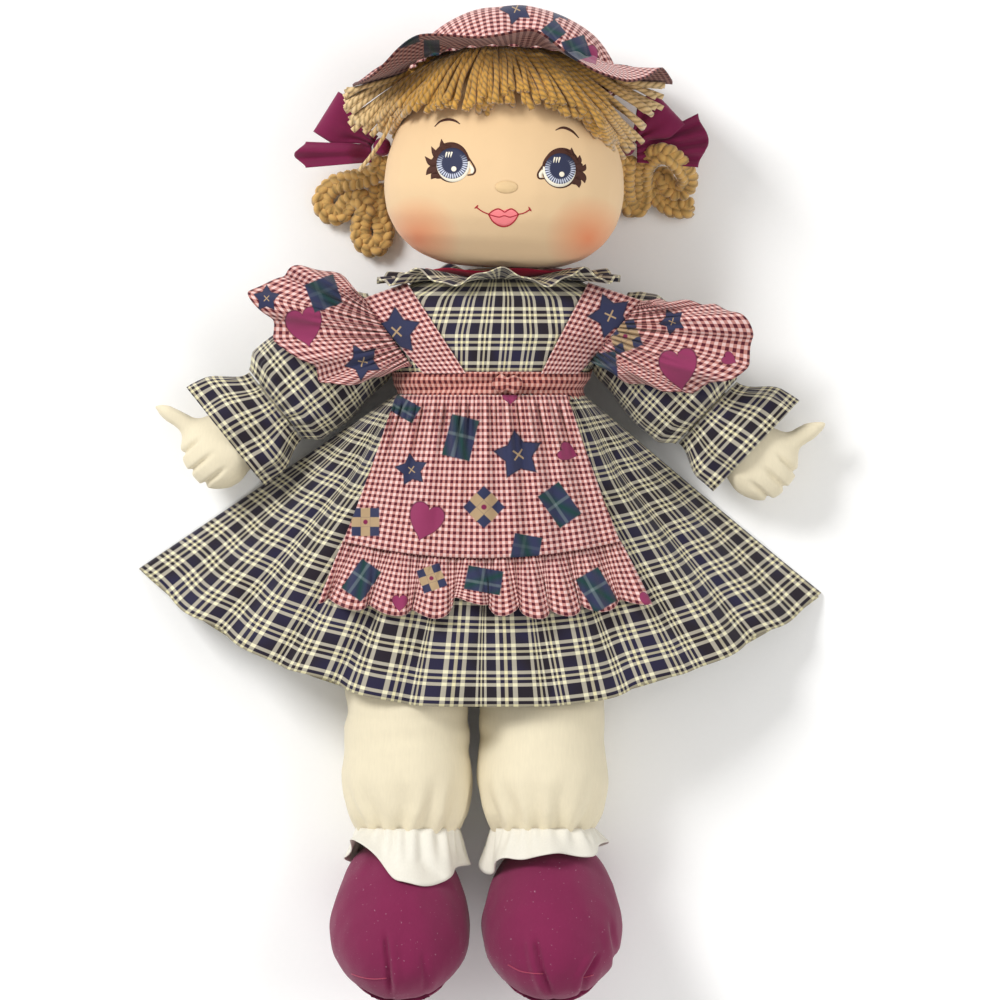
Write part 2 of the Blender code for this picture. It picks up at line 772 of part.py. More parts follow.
def make_hat_crown(material, parent):
    """A gathered dome of one cloth, open below."""
    bm = loft(crown_rings(CLOTH)[::-1] + crown_rings(0), 3 * CROWN_GATHERS)
    for vert in bm.verts:
        turn = atan2(vert.co.y, vert.co.x)
        reach = hypot(vert.co.x, vert.co.y)
        gather = CROWN_GATHER_DEPTH * cos(CROWN_GATHERS * turn) * ease(2 * reach / HAT_WIDTH)
        vert.co += Vector((vert.co.x, vert.co.y, 0)).normalized() * gather
    bmesh.ops.transform(bm, matrix=hat_frame(), verts=bm.verts)
    lay_flat(bm)
    return place_object(bm, "hat_crown", material, parent)


def brim_point(across, along):
    """The brim droops at the front and sides and is turned up behind, where the doll lies on it."""
    angle = 2 * pi * across
    back = ease((1 - cos(angle)) / 2)
    turn = radians(mix(-BRIM_DROOP_DEG, BRIM_BACK_TURN_DEG, back**3))
    wave = BRIM_WAVE * sin(BRIM_WAVES * angle) * (1 - back) * along
    dips = (
        (BRIM_RIGHT_DIP, BRIM_RIGHT_DIP_DEG, BRIM_RIGHT_DIP_SPREAD_DEG),
        (BRIM_LEFT_DIP, BRIM_LEFT_DIP_DEG, BRIM_LEFT_DIP_SPREAD_DEG),
    )
    for depth, middle, spread in dips:
        off = (angle - radians(middle)) / radians(spread)
        wave -= depth * ease(1 - off * off) * along
    outward = Vector((sin(angle), -cos(angle), 0))
    root = CROWN_GATHER_DEPTH + GAP + CLOTH
    inner = Vector((sin(angle) * (HAT_WIDTH / 2 + root), -cos(angle) * (HAT_DEPTH / 2 + root), 0))
    reach = BRIM_WIDTH * along
    return inner + outward * (cos(turn) * reach) + FRONT * (sin(turn) * reach + wave)


def make_hat_brim(material, parent):
    return sheet(
        "hat_brim", 40, 3, brim_point, material, parent, around=True, outward=False, tilt=hat_frame()
    )


# Arms, sleeves and cuffs


def arm_frame(side, distance):
    """A ring's centre, direction and broad side at a distance from the shoulder along the arm."""
    seam_normal = seam_direction(side).cross(FRONT) * side
    turn = ease((distance + ARM_ROOT_DIAMETER / 2) / SLEEVE_LENGTH)
    direction = seam_normal.lerp(arm_direction(side), turn).normalized()
    centre = shoulder_pivot(side) + arm_direction(side) * max(distance, 0) + seam_normal * min(distance, 0)
    return centre, direction, FRONT.cross(direction)


def arm_ring(side, distance, wide, deep):
    centre, direction, broad = arm_frame(side, distance)
    return ring(centre, direction, broad, wide / 2, deep / 2)


def round_end_rings(side, length, wide, deep, steps):
    """Rings that close the hand in a round end, from its broadest place to its tip."""
    rings = []
    for step in range(1, steps):
        angle = pi / 2 * step / steps
        distance = ARM_LENGTH - length + length * sin(angle)
        rings.append(arm_ring(side, distance, wide * cos(angle), deep * cos(angle)))
    return rings


def make_arm(side, word, material, parent):
    """A stuffed arm, round at the shoulder, drawn in at the wrist, with a mitten hand and a thumb."""
    root = ARM_ROOT_DIAMETER
    rings = []
    for step in range(1, 5):
        angle = pi / 2 * step / 4
        rings.append(arm_ring(side, -root / 2 * cos(angle), root * sin(angle), root * sin(angle)))
    wrist = ARM_LENGTH - HAND_LENGTH
    palm = ARM_LENGTH - HAND_LENGTH / 2
    rings.append(arm_ring(side, wrist / 2, (root + WRIST_WIDTH) / 2, root))
    rings.append(arm_ring(side, wrist, WRIST_WIDTH, WRIST_DEPTH))
    rings.append(arm_ring(side, (wrist + palm) / 2, (WRIST_WIDTH + HAND_WIDTH) / 2, HAND_DEPTH))
    rings.append(arm_ring(side, palm, HAND_WIDTH, HAND_DEPTH))
    rings += round_end_rings(side, HAND_LENGTH / 2, HAND_WIDTH, HAND_DEPTH, 4)
    made = place_object(loft(rings, ARM_SIDES), "arm_" + word, material, parent)
    centre, direction, broad = arm_frame(side, palm)
    upper = broad * side
    spread = radians(THUMB_SPREAD_DEG)
    thumb_way = direction * cos(spread) + upper * sin(spread)
    base = centre + upper * (HAND_WIDTH / 2 - THUMB_DIAMETER)
    tip = base + thumb_way * (THUMB_LENGTH + THUMB_DIAMETER)
    middle = (base + tip) / 2
    half = (tip - base) / 2
    thick = THUMB_DIAMETER / 2
    axes = (half, FRONT.cross(half.normalized()) * thick, FRONT * thick)
    thumb = place_object(ellipsoid(middle, axes, 12, 10), "thumb_form_" + word, material)
    thumb.hide_render = True
    thumb.display_type = "WIRE"
    join = made.modifiers.new("thumb", "BOOLEAN")
    join.operation = "UNION"
    join.object = thumb
    return made


def sleeve_stations():
    """Distance along the arm, full width and full depth of the puffed sleeve."""
    start = -(ARM_ROOT_DIAMETER / 2 - CLOTH)
    return [
        (start, ARMHOLE_WIDTH, ARMHOLE_DEPTH),
        (start / 2, mix(ARMHOLE_WIDTH, SLEEVE_WIDTH, 1 / 2), mix(ARMHOLE_DEPTH, SLEEVE_DEPTH, 2 / 3)),
        (0, mix(ARMHOLE_WIDTH, SLEEVE_WIDTH, 4 / 5), SLEEVE_DEPTH),
        (SLEEVE_LENGTH * 2 / 5, SLEEVE_WIDTH, SLEEVE_DEPTH),
        (SLEEVE_LENGTH * 3 / 5, mix(SLEEVE_WIDTH, GATHER_WIDTH, 1 / 8), SLEEVE_DEPTH),
        (
            SLEEVE_LENGTH * 4 / 5,
            mix(SLEEVE_WIDTH, GATHER_WIDTH, 2 / 5),
            mix(SLEEVE_DEPTH, GATHER_DEPTH, 1 / 4),
        ),
        (SLEEVE_LENGTH, GATHER_WIDTH, GATHER_DEPTH),
    ]


def make_sleeve(side, word, material, parent):
    outer = [arm_ring(side, *station) for station in sleeve_stations()]
    inner = [arm_ring(side, at, wide - 2 * CLOTH, deep - 2 * CLOTH) for at, wide, deep in sleeve_stations()]
    bm = loft(outer + inner[::-1], SLEEVE_SIDES, closed=True)
    lay_flat(bm)
    return place_object(bm, "sleeve_" + word, material, parent)


def make_cuff(side, word, material, parent):
    """A loose band gathered onto the sleeve that opens over the hand."""

    def cuff(across, along):
        angle = 2 * pi * across
        distance = SLEEVE_LENGTH + GAP + CLOTH + CUFF_LENGTH * along
        half_wide = mix(GATHER_WIDTH, CUFF_WIDTH, ease(along * 3 / 2)) / 2 - CLOTH
        half_deep = mix(GATHER_DEPTH, CUFF_DEPTH, ease(along * 3 / 2)) / 2 - CLOTH
        wave = CUFF_WAVE * cos(CUFF_WAVES * angle) * along
        centre, direction, broad = arm_frame(side, distance)
        centre += broad * (side * CUFF_RISE * ease(along))
        return centre + broad * (cos(angle) * (half_wide + wave)) + FRONT * (sin(angle) * (half_deep + wave))

    return sheet("cuff_" + word, 4 * CUFF_WAVES, 2, cuff, material, parent, around=True, outward=side < 0)


# Collar and facing


def collar_point(across, along):
    angle = 2 * pi * across
    neck_radius = NECK_DIAMETER / 2 + 2 * GAP
    half_deep = (COLLAR_DEPTH if sin(angle) > 0 else COLLAR_BACK_DEPTH) / 2
    wide = mix(neck_radius, COLLAR_WIDTH / 2, along)
    deep = mix(neck_radius, half_deep, along)
    wave = COLLAR_WAVE * sin(COLLAR_WAVES * angle) * along * along
    lift = 3 * CLOTH + mix(GAP, COLLAR_LIFT + COLLAR_WAVE, along * along)
    x = spine_x(NECK_PIVOT_RISE) + cos(angle) * wide
    return Vector((x, NECK_RISE + lift + wave, BODY_AXIS + sin(angle) * deep))


def make_collar(material):
    return sheet("collar_ruffle", 4 * COLLAR_WAVES, 2, collar_point, material, around=True, outward=False)


def trim_point(across, along):
    angle = 2 * pi * across
    neck_radius = NECK_DIAMETER / 2 + 2 * GAP
    wide = mix(neck_radius, TRIM_WIDTH / 2, along)
    deep = mix(neck_radius, TRIM_DEPTH / 2, along)
    wave = TRIM_WAVE * sin(TRIM_WAVES * angle) * along
    lift = 4 * CLOTH + mix(2 * GAP, COLLAR_WAVE, along * along)
    x = spine_x(NECK_PIVOT_RISE) + cos(angle) * wide
    return Vector((x, NECK_RISE + lift + wave, BODY_AXIS + sin(angle) * deep))


def make_neck_trim(material):
    return sheet("neck_trim", 4 * TRIM_WAVES, 1, trim_point, material, around=True, outward=False)


# Dress skirt


def skirt_place(side, length):
    """The plan place of a point of the fan; side runs from -1 at the left seam to 1 at the right."""
    spread = radians(SKIRT_LEFT_SPREAD_DEG if side < 0 else SKIRT_RIGHT_SPREAD_DEG)
    angle = spread * side
    start = WAIST_WIDTH / 2 + GAP + 2 * CLOTH
    x = spine_x(-WAIST_DROP) + start * side + length * sin(angle)
    return x, -WAIST_DROP - GAP - CLOTH - length * cos(angle)


def skirt_envelope(side, length):
    """The height of the smooth surface that the front panel's folds hang from."""
    settled = ease(length / SKIRT_SETTLE)
    waist_top = BODY_AXIS + WAIST_DEPTH / 2 + GAP + 2 * CLOTH
    middle = mix(waist_top, LEG_DIAMETER + SKIRT_TOP_CLEARANCE, settled)
    middle = mix(middle, LEG_DIAMETER + SKIRT_HEM_CLEARANCE, ease(length / SKIRT_LENGTH))
    edge = mix(BODY_AXIS + 2 * GAP, 2 * CLOTH + 2 * GAP, ease(length / (SKIRT_LENGTH * 4 / 5)))
    fullness = max(1 - side * side, 0) ** mix(1 / 2, 1, settled)
    return mix(edge, middle, fullness)


def skirt_side(across, along):
    """Columns stand closer together at the side seams near the waist."""
    return mix(-cos(pi * across), 2 * across - 1, ease(along * 2))


def skirt_front_point(across, along):
    side = skirt_side(across, along)
    length = SKIRT_LENGTH * along**SKIRT_ROW_POWER
    x, height = skirt_place(side, length)
    depth = SKIRT_FOLD_DEPTH * ease(length / SKIRT_SETTLE) * (1 - side**4)
    fold = depth * (1 - cos(2 * pi * SKIRT_FOLDS * across)) / 2
    return Vector((x, height, skirt_envelope(side, length) - fold))


def skirt_back_point(across, along):
    side = skirt_side(across, along)
    length = SKIRT_LENGTH * along**SKIRT_ROW_POWER
    x, height = skirt_place(side * mix(1, SKIRT_BACK_SPREAD_SHARE, along), length)
    waist_foot = BODY_AXIS - 2 * GAP - (WAIST_DEPTH / 2 + GAP + CLOTH) * sqrt(max(1 - side * side, 0))
    settle = ease(length / (SKIRT_SETTLE / 2))
    foot = mix(waist_foot, CLOTH, ease(length / (SKIRT_SETTLE * mix(1 / 4, 2, side * side))))
    outside = ease((abs(side) - 1 / 3) * 2)
    fold = SKIRT_BACK_FOLD_DEPTH * (1 - cos(2 * pi * SKIRT_FOLDS * across)) / 2 * settle * outside
    return Vector((x, height, max(foot, CLOTH) + fold * (1 - side**4)))


def make_skirt(material):
    sheet("skirt_front", SKIRT_COLUMNS, SKIRT_ROWS, skirt_front_point, material, outward=True)
    sheet("skirt_back", SKIRT_COLUMNS, SKIRT_ROWS, skirt_back_point, material, outward=True)


# Pinafore


def band_top():
    return -WAIST_DROP + BAND_WIDTH - CLOTH


def make_waistband(material):
    bm = torso_layer(band_top(), -WAIST_DROP, 2 * GAP + CLOTH)
    return place_object(bm, "apron_waistband", material)


def make_apron_knot(material):
    """The twist at the middle of the sash."""
    height = -WAIST_DROP + BAND_WIDTH / 2
    half_wide, half_deep = torso_at(height)
    turned = sqrt(1 - (KNOT_TWIST_WIDTH / half_wide) ** 2)
    surface = BODY_AXIS + (half_deep + 3 * GAP + 2 * CLOTH) * turned
    centre = Vector((spine_x(height) + KNOT_TWIST_WIDTH, height, surface + KNOT_TWIST_DEPTH / 2))
    axes = (ACROSS * KNOT_TWIST_LENGTH / 2, UPWARD * KNOT_TWIST_WIDTH / 2, FRONT * KNOT_TWIST_DEPTH / 2)
    return place_object(ellipsoid(centre, axes, 14, 8), "apron_knot", material)


def make_strap(side, word, material):
    """A shoulder strap, a strip of the cloth layer that lies on the bodice."""
    top = NECK_RISE - 2 * GAP - CLOTH
    foot = band_top() + GAP
    bm = torso_layer(top, foot, 2 * GAP + CLOTH)
    keep_below(bm, Vector((0, 0, BODY_AXIS + CLOTH)), -FRONT)
    for head_x, foot_x, way in (
        (STRAP_TOP_INNER, STRAP_FOOT_INNER, -1), (STRAP_TOP_OUTER, STRAP_FOOT_OUTER, 1)
    ):
        upper = Vector((spine_x(top) + side * head_x, top, 0))
        lower = Vector((spine_x(foot) + side * foot_x, foot, 0))
        along = upper - lower
        outward = along.cross(FRONT) * (way * side)
        keep_below(bm, lower, outward)
    return place_object(bm, "strap_" + word, material)


def apron_place(side, length):
    """The plan place of a point of the apron."""
    share = length / APRON_LENGTH
    half = mix(APRON_TOP_HALF, APRON_FOOT_HALF, share)
    return spine_x(-WAIST_DROP) + APRON_FOOT_SHIFT * share + side * half, apron_top() - length


def apron_top():
    return -WAIST_DROP - 3 * GAP - 2 * CLOTH


def surface_under(x, height):
    """The height of the skirt's smooth surface under a plan point, found by halving."""
    low = -1
    high = 1
    start = skirt_place(1, 0)[0] - skirt_place(0, 0)[0]
    drop = max(skirt_place(0, 0)[1] - height, 0)
    for _ in range(20):
        side = (low + high) / 2
        spread = radians(SKIRT_LEFT_SPREAD_DEG if side < 0 else SKIRT_RIGHT_SPREAD_DEG)
        if skirt_place(0, 0)[0] + start * side + drop * sin(spread * side) / cos(spread * side) < x:
            low = side
        else:
            high = side
    return skirt_envelope(side, drop / cos(spread * side))


def apron_point(across, along):
    side = 2 * across - 1
    length = APRON_LENGTH * along
    x, height = apron_place(side, length)
    fold = APRON_FOLD_DEPTH * (1 + cos(2 * pi * APRON_FOLDS * across)) / 2 * mix(1, 1 / 3, along)
    clearance = CLOTH + 2 * FOLD_CLEARANCE
    return Vector((x, height, surface_under(x, height) + clearance + fold * ease(along * 8)))


def ruffle_point(across, along):
    side = 2 * across - 1
    length = APRON_LENGTH + GAP + CLOTH + APRON_RUFFLE_LENGTH * along
    x, height = apron_place(side, APRON_LENGTH)
    step = length - APRON_LENGTH
    x += side * RUFFLE_FLARE * along
    height -= step
    fold = RUFFLE_FOLD_DEPTH * (1 + cos(2 * pi * RUFFLE_FOLDS * across)) / 2 * mix(1 / 3, 1, along)
    return Vector((x, height, surface_under(x, height) + CLOTH + FOLD_CLEARANCE + fold))


def make_apron(material):
    sheet("apron_skirt", 3 * APRON_FOLDS, 5, apron_point, material, outward=True)
    sheet("apron_ruffle", 4 * RUFFLE_FOLDS, 2, ruffle_point, material, outward=True)


def make_shoulder_frill(side, word, material):
    """A gathered ruffle sewn to the strap's outer edge that lies over the sleeve."""
    top = SHOULDER_RISE - CLOTH
    foot = band_top() + GAP
    full = LEFT_FRILL_REACH if side < 0 else RIGHT_FRILL_REACH
    least = LEFT_FRILL_FOOT_REACH if side < 0 else RIGHT_FRILL_FOOT_REACH
    fans = LEFT_FRILL_FAN_DEG if side < 0 else RIGHT_FRILL_FAN_DEG

    def frill(across, along):
        height = mix(top, foot, across)
        half_wide, half_deep = torso_at(height)
        half_wide += 3 * GAP + 2 * CLOTH
        root_x = min(mix(STRAP_TOP_OUTER, STRAP_FOOT_OUTER, across) - CLOTH, half_wide * FRILL_ROOT_SHARE)
        root_rise = (half_deep + 3 * GAP + 2 * CLOTH) * sqrt(1 - (root_x / half_wide) ** 2)
        root_z = BODY_AXIS + root_rise + GAP + CLOTH
        reach = mix(full, least, across) * ease(across * 4 + FRILL_START) * along
        fan = radians(mix(*fans, across))
        wave = FRILL_WAVE * (1 + cos(2 * pi * FRILL_WAVES * across)) / 2 * along
        x = spine_x(height) + side * (root_x + reach * cos(fan))
        z = mix(root_z, FRILL_HEIGHT, ease(2 * along)) + wave - FRILL_OVERHANG * along * along
        return Vector((x, height - reach * sin(fan), z))

    return sheet("shoulder_frill_" + word, 5 * FRILL_WAVES, 3, frill, material, outward=side < 0)


# Legs, ankle frills and shoes


def hip_pivot(side):
    height = -SEAT_DROP - GAP - LEG_DIAMETER * LEG_TOP_SHARE / 2
    return Vector((LEGS_X + side * LEG_SPACING / 2, height, LEG_DIAMETER / 2 + CLOTH + 2 * GAP))


def ankle_pivot(side):
    hip = hip_pivot(side)
    return Vector((hip.x, -SEAT_DROP - LEG_REACH, hip.z))


def make_leg(side, word, material, parent):
    """A stuffed leg, round where it is sewn to the seat and gathered at the ankle."""
    hip = hip_pivot(side)
    ankle = ankle_pivot(side)
    top = LEG_DIAMETER * LEG_TOP_SHARE / 2
    full = LEG_DIAMETER / 2
    foot = ANKLE_DIAMETER / 2
    stations = []
    for angle in (pi / 20, pi / 8, pi / 4, pi * 3 / 8, pi / 2):
        stations.append((hip.y + top * cos(angle), top * sin(angle)))
    length = hip.y - ankle.y
    stations.append((hip.y - length / 4, top))
    stations.append((hip.y - length * 3 / 8, mix(top, full, 3 / 4)))
    stations.append((hip.y - length / 2, full))
    stations.append((ankle.y + 2 * ANKLE_GATHER, full))
    stations.append((ankle.y + ANKLE_GATHER, mix(foot, full, 7 / 8)))
    stations.append((ankle.y + ANKLE_GATHER / 2, mix(foot, full, 1 / 2)))
    for step in range(4):
        angle = pi / 2 * step / 4
        stations.append((ankle.y - foot * sin(angle), foot * cos(angle)))
    rings = [ring(Vector((hip.x, at, hip.z)), -UPWARD, ACROSS, radius, radius) for at, radius in stations]
    return place_object(loft(rings, LEG_SIDES), "leg_" + word, material, parent)


def make_ankle_frill(side, word, material, parent):
    """A ruffle sewn round the gather at the ankle that falls over the shoe."""
    ankle = ankle_pivot(side)

    def frill(across, along):
        angle = 2 * pi * across
        inner = ANKLE_DIAMETER / 2 + GAP + CLOTH
        front = max(sin(angle), 0)
        wave = ANKLE_FRILL_WAVE * cos(ANKLE_FRILL_WAVES * angle) * along
        reach = mix(inner, ANKLE_FRILL_WIDTH / 2, along) + wave
        deep = reach + ANKLE_FRILL_FRONT_REACH * front * along
        height = ankle.y - GAP - (ANKLE_FRILL_DROP + ANKLE_FRILL_FRONT_DROP * front) * along
        return Vector((ankle.x + cos(angle) * reach, height, ankle.z + sin(angle) * deep))

    name = "ankle_frill_" + word
    columns = 4 * ANKLE_FRILL_WAVES
    return sheet(name, columns, 2, frill, material, parent, around=True, outward=False)


def shoe_axes(side):
    """The shoe's half axes: heel to toe, side to side, instep to sole."""
    pitch = radians(SHOE_PITCH_DEG)
    toe = Vector((0, -sin(pitch), cos(pitch)))
    sole = Vector((0, -cos(pitch), -sin(pitch)))
    return toe * SHOE_LENGTH / 2, ACROSS * SHOE_WIDTH / 2, sole * SHOE_THICKNESS / 2


def shoe_centre(side):
    long_axis, _, sole_axis = shoe_axes(side)
    ankle = ankle_pivot(side)
    reach = hypot(long_axis.y, sole_axis.y)
    lift = hypot(long_axis.z, sole_axis.z)
    height = ankle.y - ANKLE_DIAMETER / 2 + SHOE_OVERLAP - reach
    splay = -LEFT_SHOE_SPLAY if side < 0 else RIGHT_SHOE_SPLAY
    return Vector((ankle.x + splay, height, lift - SEAT_CUT))


def shoe_form(side):
    long_axis, wide_axis, sole_axis = shoe_axes(side)
    bm = ellipsoid(shoe_centre(side), (wide_axis, sole_axis, long_axis), SHOE_SIDES, SHOE_RINGS)
    lay_flat(bm)
    return bm


def make_shoe(side, word, upper, under, parent):
    """A stuffed shoe with a socket for the ankle and a sole panel sewn on below."""
    sole_way = shoe_axes(side)[2].normalized()
    seam = shoe_centre(side) + sole_way * (SHOE_THICKNESS / 2 - SOLE_THICKNESS)
    bm = shoe_form(side)
    keep_below(bm, seam, sole_way)
    shoe = place_object(bm, "shoe_" + word, upper, parent)
    radius = (ANKLE_DIAMETER / 2 + GAP) / cos(pi / LEG_SIDES) ** 2
    axes = (ACROSS * radius, UPWARD * radius, FRONT * radius)
    cut_away(shoe, ellipsoid(ankle_pivot(side), axes, LEG_SIDES, SHOE_RINGS), "ankle_socket_" + word)
    bm = shoe_form(side)
    keep_below(bm, seam + sole_way * GAP, -sole_way)
    place_object(bm, "sole_" + word, under, parent)


def build():
    muslin = paint("muslin", MUSLIN, 0.9)
    plaid = paint("plaid_cotton", PLAID, 0.9)
    gingham = paint("gingham_cotton", GINGHAM, 0.9)
    burgundy = paint("burgundy_cotton", BURGUNDY, 0.9)
    yarn = paint("yarn", YARN, 1)
    white = paint("white_cotton", WHITE_COTTON, 0.9)
    skin = paint("face_cloth", PEACH, 0.9)

    make_torso(muslin)
    make_bodice(plaid)
    make_collar(plaid)
    make_neck_trim(burgundy)
    make_skirt(plaid)
    make_waistband(gingham)
    make_apron_knot(gingham)
    make_apron(gingham)

    nod = pivot("pivot_neck_nod", neck_pivot())
    head = pivot("pivot_head_tilt", neck_pivot(), nod)
    make_neck(skin, nod)
    make_head(skin, head)
    make_face(head)
    make_hair_back(yarn, head)
    make_hair_fringe(yarn, head)
    make_hat_crown(gingham, head)
    make_hat_brim(gingham, head)

    for side, word, chain in ((-1, "left", LEFT_CHAIN), (1, "right", RIGHT_CHAIN)):
        make_strap(side, word, gingham)
        make_shoulder_frill(side, word, gingham)
        make_bow(side, word, burgundy, head)
        swing = pivot("pivot_pigtail_" + word, bow_knot(side), head)
        make_pigtail("pigtail_" + word, bow_knot(side), chain, yarn, swing)
        shoulder = pivot("pivot_shoulder_" + word, shoulder_pivot(side))
        make_arm(side, word, muslin, shoulder)
        make_sleeve(side, word, plaid, shoulder)
        make_cuff(side, word, plaid, shoulder)
        hip = pivot("pivot_hip_" + word, hip_pivot(side))
        make_leg(side, word, muslin, hip)
        make_ankle_frill(side, word, white, hip)
        ankle = pivot("pivot_ankle_" + word, ankle_pivot(side), hip)
        make_shoe(side, word, burgundy, burgundy, ankle)


for old in list(bpy.data.objects):
    bpy.data.objects.remove(old, do_unlink=True)
build()
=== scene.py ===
"""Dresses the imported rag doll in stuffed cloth, gathered cotton, yarn and print, and sets a plain studio."""

import json
import math
import random
from math import cos, pi, radians, sin

import bmesh
import bpy
from mathutils import Matrix, Vector
from mathutils import noise as cloud
from mathutils.bvhtree import BVHTree

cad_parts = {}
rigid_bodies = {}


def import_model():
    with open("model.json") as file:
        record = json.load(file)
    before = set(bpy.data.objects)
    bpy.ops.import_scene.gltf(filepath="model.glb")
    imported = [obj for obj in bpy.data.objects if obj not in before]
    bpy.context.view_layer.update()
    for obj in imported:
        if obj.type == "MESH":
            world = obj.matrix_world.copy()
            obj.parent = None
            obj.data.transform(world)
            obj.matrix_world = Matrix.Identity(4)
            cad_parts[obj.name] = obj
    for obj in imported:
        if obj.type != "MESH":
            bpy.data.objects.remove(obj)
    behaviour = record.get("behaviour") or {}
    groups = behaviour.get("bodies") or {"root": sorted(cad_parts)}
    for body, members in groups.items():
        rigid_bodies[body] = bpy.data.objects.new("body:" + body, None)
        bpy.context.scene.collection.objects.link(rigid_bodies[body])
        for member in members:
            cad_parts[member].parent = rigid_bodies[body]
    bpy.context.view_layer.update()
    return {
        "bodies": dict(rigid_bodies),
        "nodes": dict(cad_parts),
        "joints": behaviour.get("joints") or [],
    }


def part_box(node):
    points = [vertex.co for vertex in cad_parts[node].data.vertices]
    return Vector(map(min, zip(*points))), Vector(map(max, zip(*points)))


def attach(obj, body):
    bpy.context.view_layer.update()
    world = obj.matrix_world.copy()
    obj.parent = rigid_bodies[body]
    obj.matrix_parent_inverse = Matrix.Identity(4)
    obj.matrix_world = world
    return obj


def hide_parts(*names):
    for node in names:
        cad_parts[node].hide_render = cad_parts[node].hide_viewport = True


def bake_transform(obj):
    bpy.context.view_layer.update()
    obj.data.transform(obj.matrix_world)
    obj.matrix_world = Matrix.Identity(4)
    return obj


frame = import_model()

bl_info = {
    "name": "Rag doll in a plaid dress",
    "version": (1, 0, 0),
    "blender": (4, 5, 0),
    "location": "View3D > Sidebar > Rag doll",
    "description": "Dresses a packed rag doll and sets a plain studio",
    "category": "Object",
}

MM = 0.001
TURN = 2 * pi
UPWARD, FRONT = Vector((0, 1, 0)), Vector((0, 0, 1))
GRID = 0.615 * MM  # one unit of the drawing grid
SIDES = ((-1, "left"), (1, "right"))


# Sizes and colours that a user would change


def srgb(red, green, blue):
    """A linear colour from screen values of 0 to 255."""
    return tuple(
        value / 255 / 12.92 if value <= 10 else ((value / 255 + 0.055) / 1.055) ** 2.4
        for value in (red, green, blue)
    )


def colour_setting(name, note, red, green, blue):
    return bpy.props.FloatVectorProperty(
        name=name, description=note, subtype="COLOR", size=3, min=0, max=1, default=srgb(red, green, blue)
    )


def length_setting(name, note, value):
    return bpy.props.FloatProperty(
        name=name, description=note, subtype="DISTANCE", unit="LENGTH", default=value, min=0, precision=5
    )


class DollColours(bpy.types.PropertyGroup):
    plaid_dark: colour_setting("Plaid ground", "Ground of the dress plaid", 27, 20, 29)
    plaid_single: colour_setting("Plaid line", "One pale line over the ground", 172, 165, 149)
    plaid_double: colour_setting("Plaid crossing", "Where two pale lines cross", 226, 220, 186)
    gingham_light: colour_setting("Gingham ground", "Palest check of the pinafore", 230, 198, 193)
    gingham_single: colour_setting("Gingham line", "Middle check of the pinafore", 188, 132, 130)
    gingham_double: colour_setting("Gingham crossing", "Darkest check of the pinafore", 84, 22, 38)
    burgundy: colour_setting("Burgundy", "Bows and shoes", 122, 30, 72)
    heart: colour_setting("Hearts", "Printed hearts", 140, 50, 90)
    navy: colour_setting("Navy", "Printed stars", 46, 50, 80)
    green: colour_setting("Green", "Printed squares", 20, 60, 56)
    tan: colour_setting("Tan", "Printed crosses and squares", 172, 146, 112)
    muslin: colour_setting("Muslin", "Legs, arms and hands", 229, 218, 190)
    skin: colour_setting("Face cloth", "Cloth of the face", 224, 193, 152)
    blush: colour_setting("Blush", "Colour rubbed into the cheeks", 226, 138, 92)
    yarn: colour_setting("Yarn", "Hair", 190, 138, 46)
    white: colour_setting("White cotton", "Ankle frills", 230, 226, 214)
    ink: colour_setting("Ink", "Outlines of the eyes", 74, 44, 36)
    lips: colour_setting("Lips", "Printed lips", 240, 132, 136)
    lip_line: colour_setting("Lip line", "Outline of the lips", 168, 40, 50)
    iris: colour_setting("Iris", "Printed iris", 44, 48, 72)


class DollSizes(bpy.types.PropertyGroup):
    cloth: length_setting("Cloth", "Thickness of the dress cotton", 0.7 * MM)
    plaid_pitch: length_setting("Plaid repeat", "Repeat of the dress plaid", 16.8 * MM)
    gingham_pitch: length_setting("Gingham repeat", "Repeat of the small check", 4.1 * MM)
    yarn: length_setting("Yarn", "Thickness of a strand of hair", 3.3 * MM)
    voxel: length_setting("Stuffed mesh", "Mesh size of the stuffed pieces", 4.5 * MM)
    swell: length_setting("Swell", "How far a stuffed piece may swell", 3.0 * MM)


def colours():
    return bpy.context.scene.doll_colours


def sizes():
    return bpy.context.scene.doll_sizes


# Small helpers


def mix(first, second, share):
    return first + (second - first) * share


def ease(share):
    share = min(max(share, 0), 1)
    return share * share * (3 - 2 * share)


def bump_at(value, centre, spread):
    """A smooth hump of height 1 round a place."""
    return ease(1 - abs(value - centre) / spread)


def pivot(body):
    """Where a body of the frame turns."""
    return next(Vector(joint["pos_m"]) for joint in frame["joints"] if joint["child"] == body)


def spot(across, down):
    """A plan place from the drawing grid that the doll was measured on."""
    return (across - 490) * GRID, (335 - down) * GRID


def ripple(place, size, seed=0.0):
    """Soft uneven noise, from about -1 to 1."""
    return cloud.noise(Vector(place) / size + Vector((seed, seed * 1.7, seed * 0.6)))


def put(name, bm, material=None, smooth=True):
    mesh = bpy.data.meshes.new(name)
    bm.to_mesh(mesh)
    bm.free()
    piece = bpy.data.objects.new(name, mesh)
    bpy.context.scene.collection.objects.link(piece)
    if material:
        mesh.materials.append(material)
    if smooth:
        mesh.shade_smooth()
    return piece


def settle_modifiers(piece):
    """Makes the shape that the modifiers give the piece's own mesh."""
    bpy.context.view_layer.update()
    graph = bpy.context.evaluated_depsgraph_get()
    mesh = bpy.data.meshes.new_from_object(piece.evaluated_get(graph))
    mesh.name = piece.name
    piece.modifiers.clear()
    piece.data = mesh
    mesh.shade_smooth()


def tree_of(*nodes):
    """A search tree over CAD nodes or pieces."""
    bm = bmesh.new()
    for node in nodes:
        bm.from_mesh(frame["nodes"][node].data if isinstance(node, str) else node.data)
    tree = BVHTree.FromBMesh(bm)
    bm.free()
    return tree


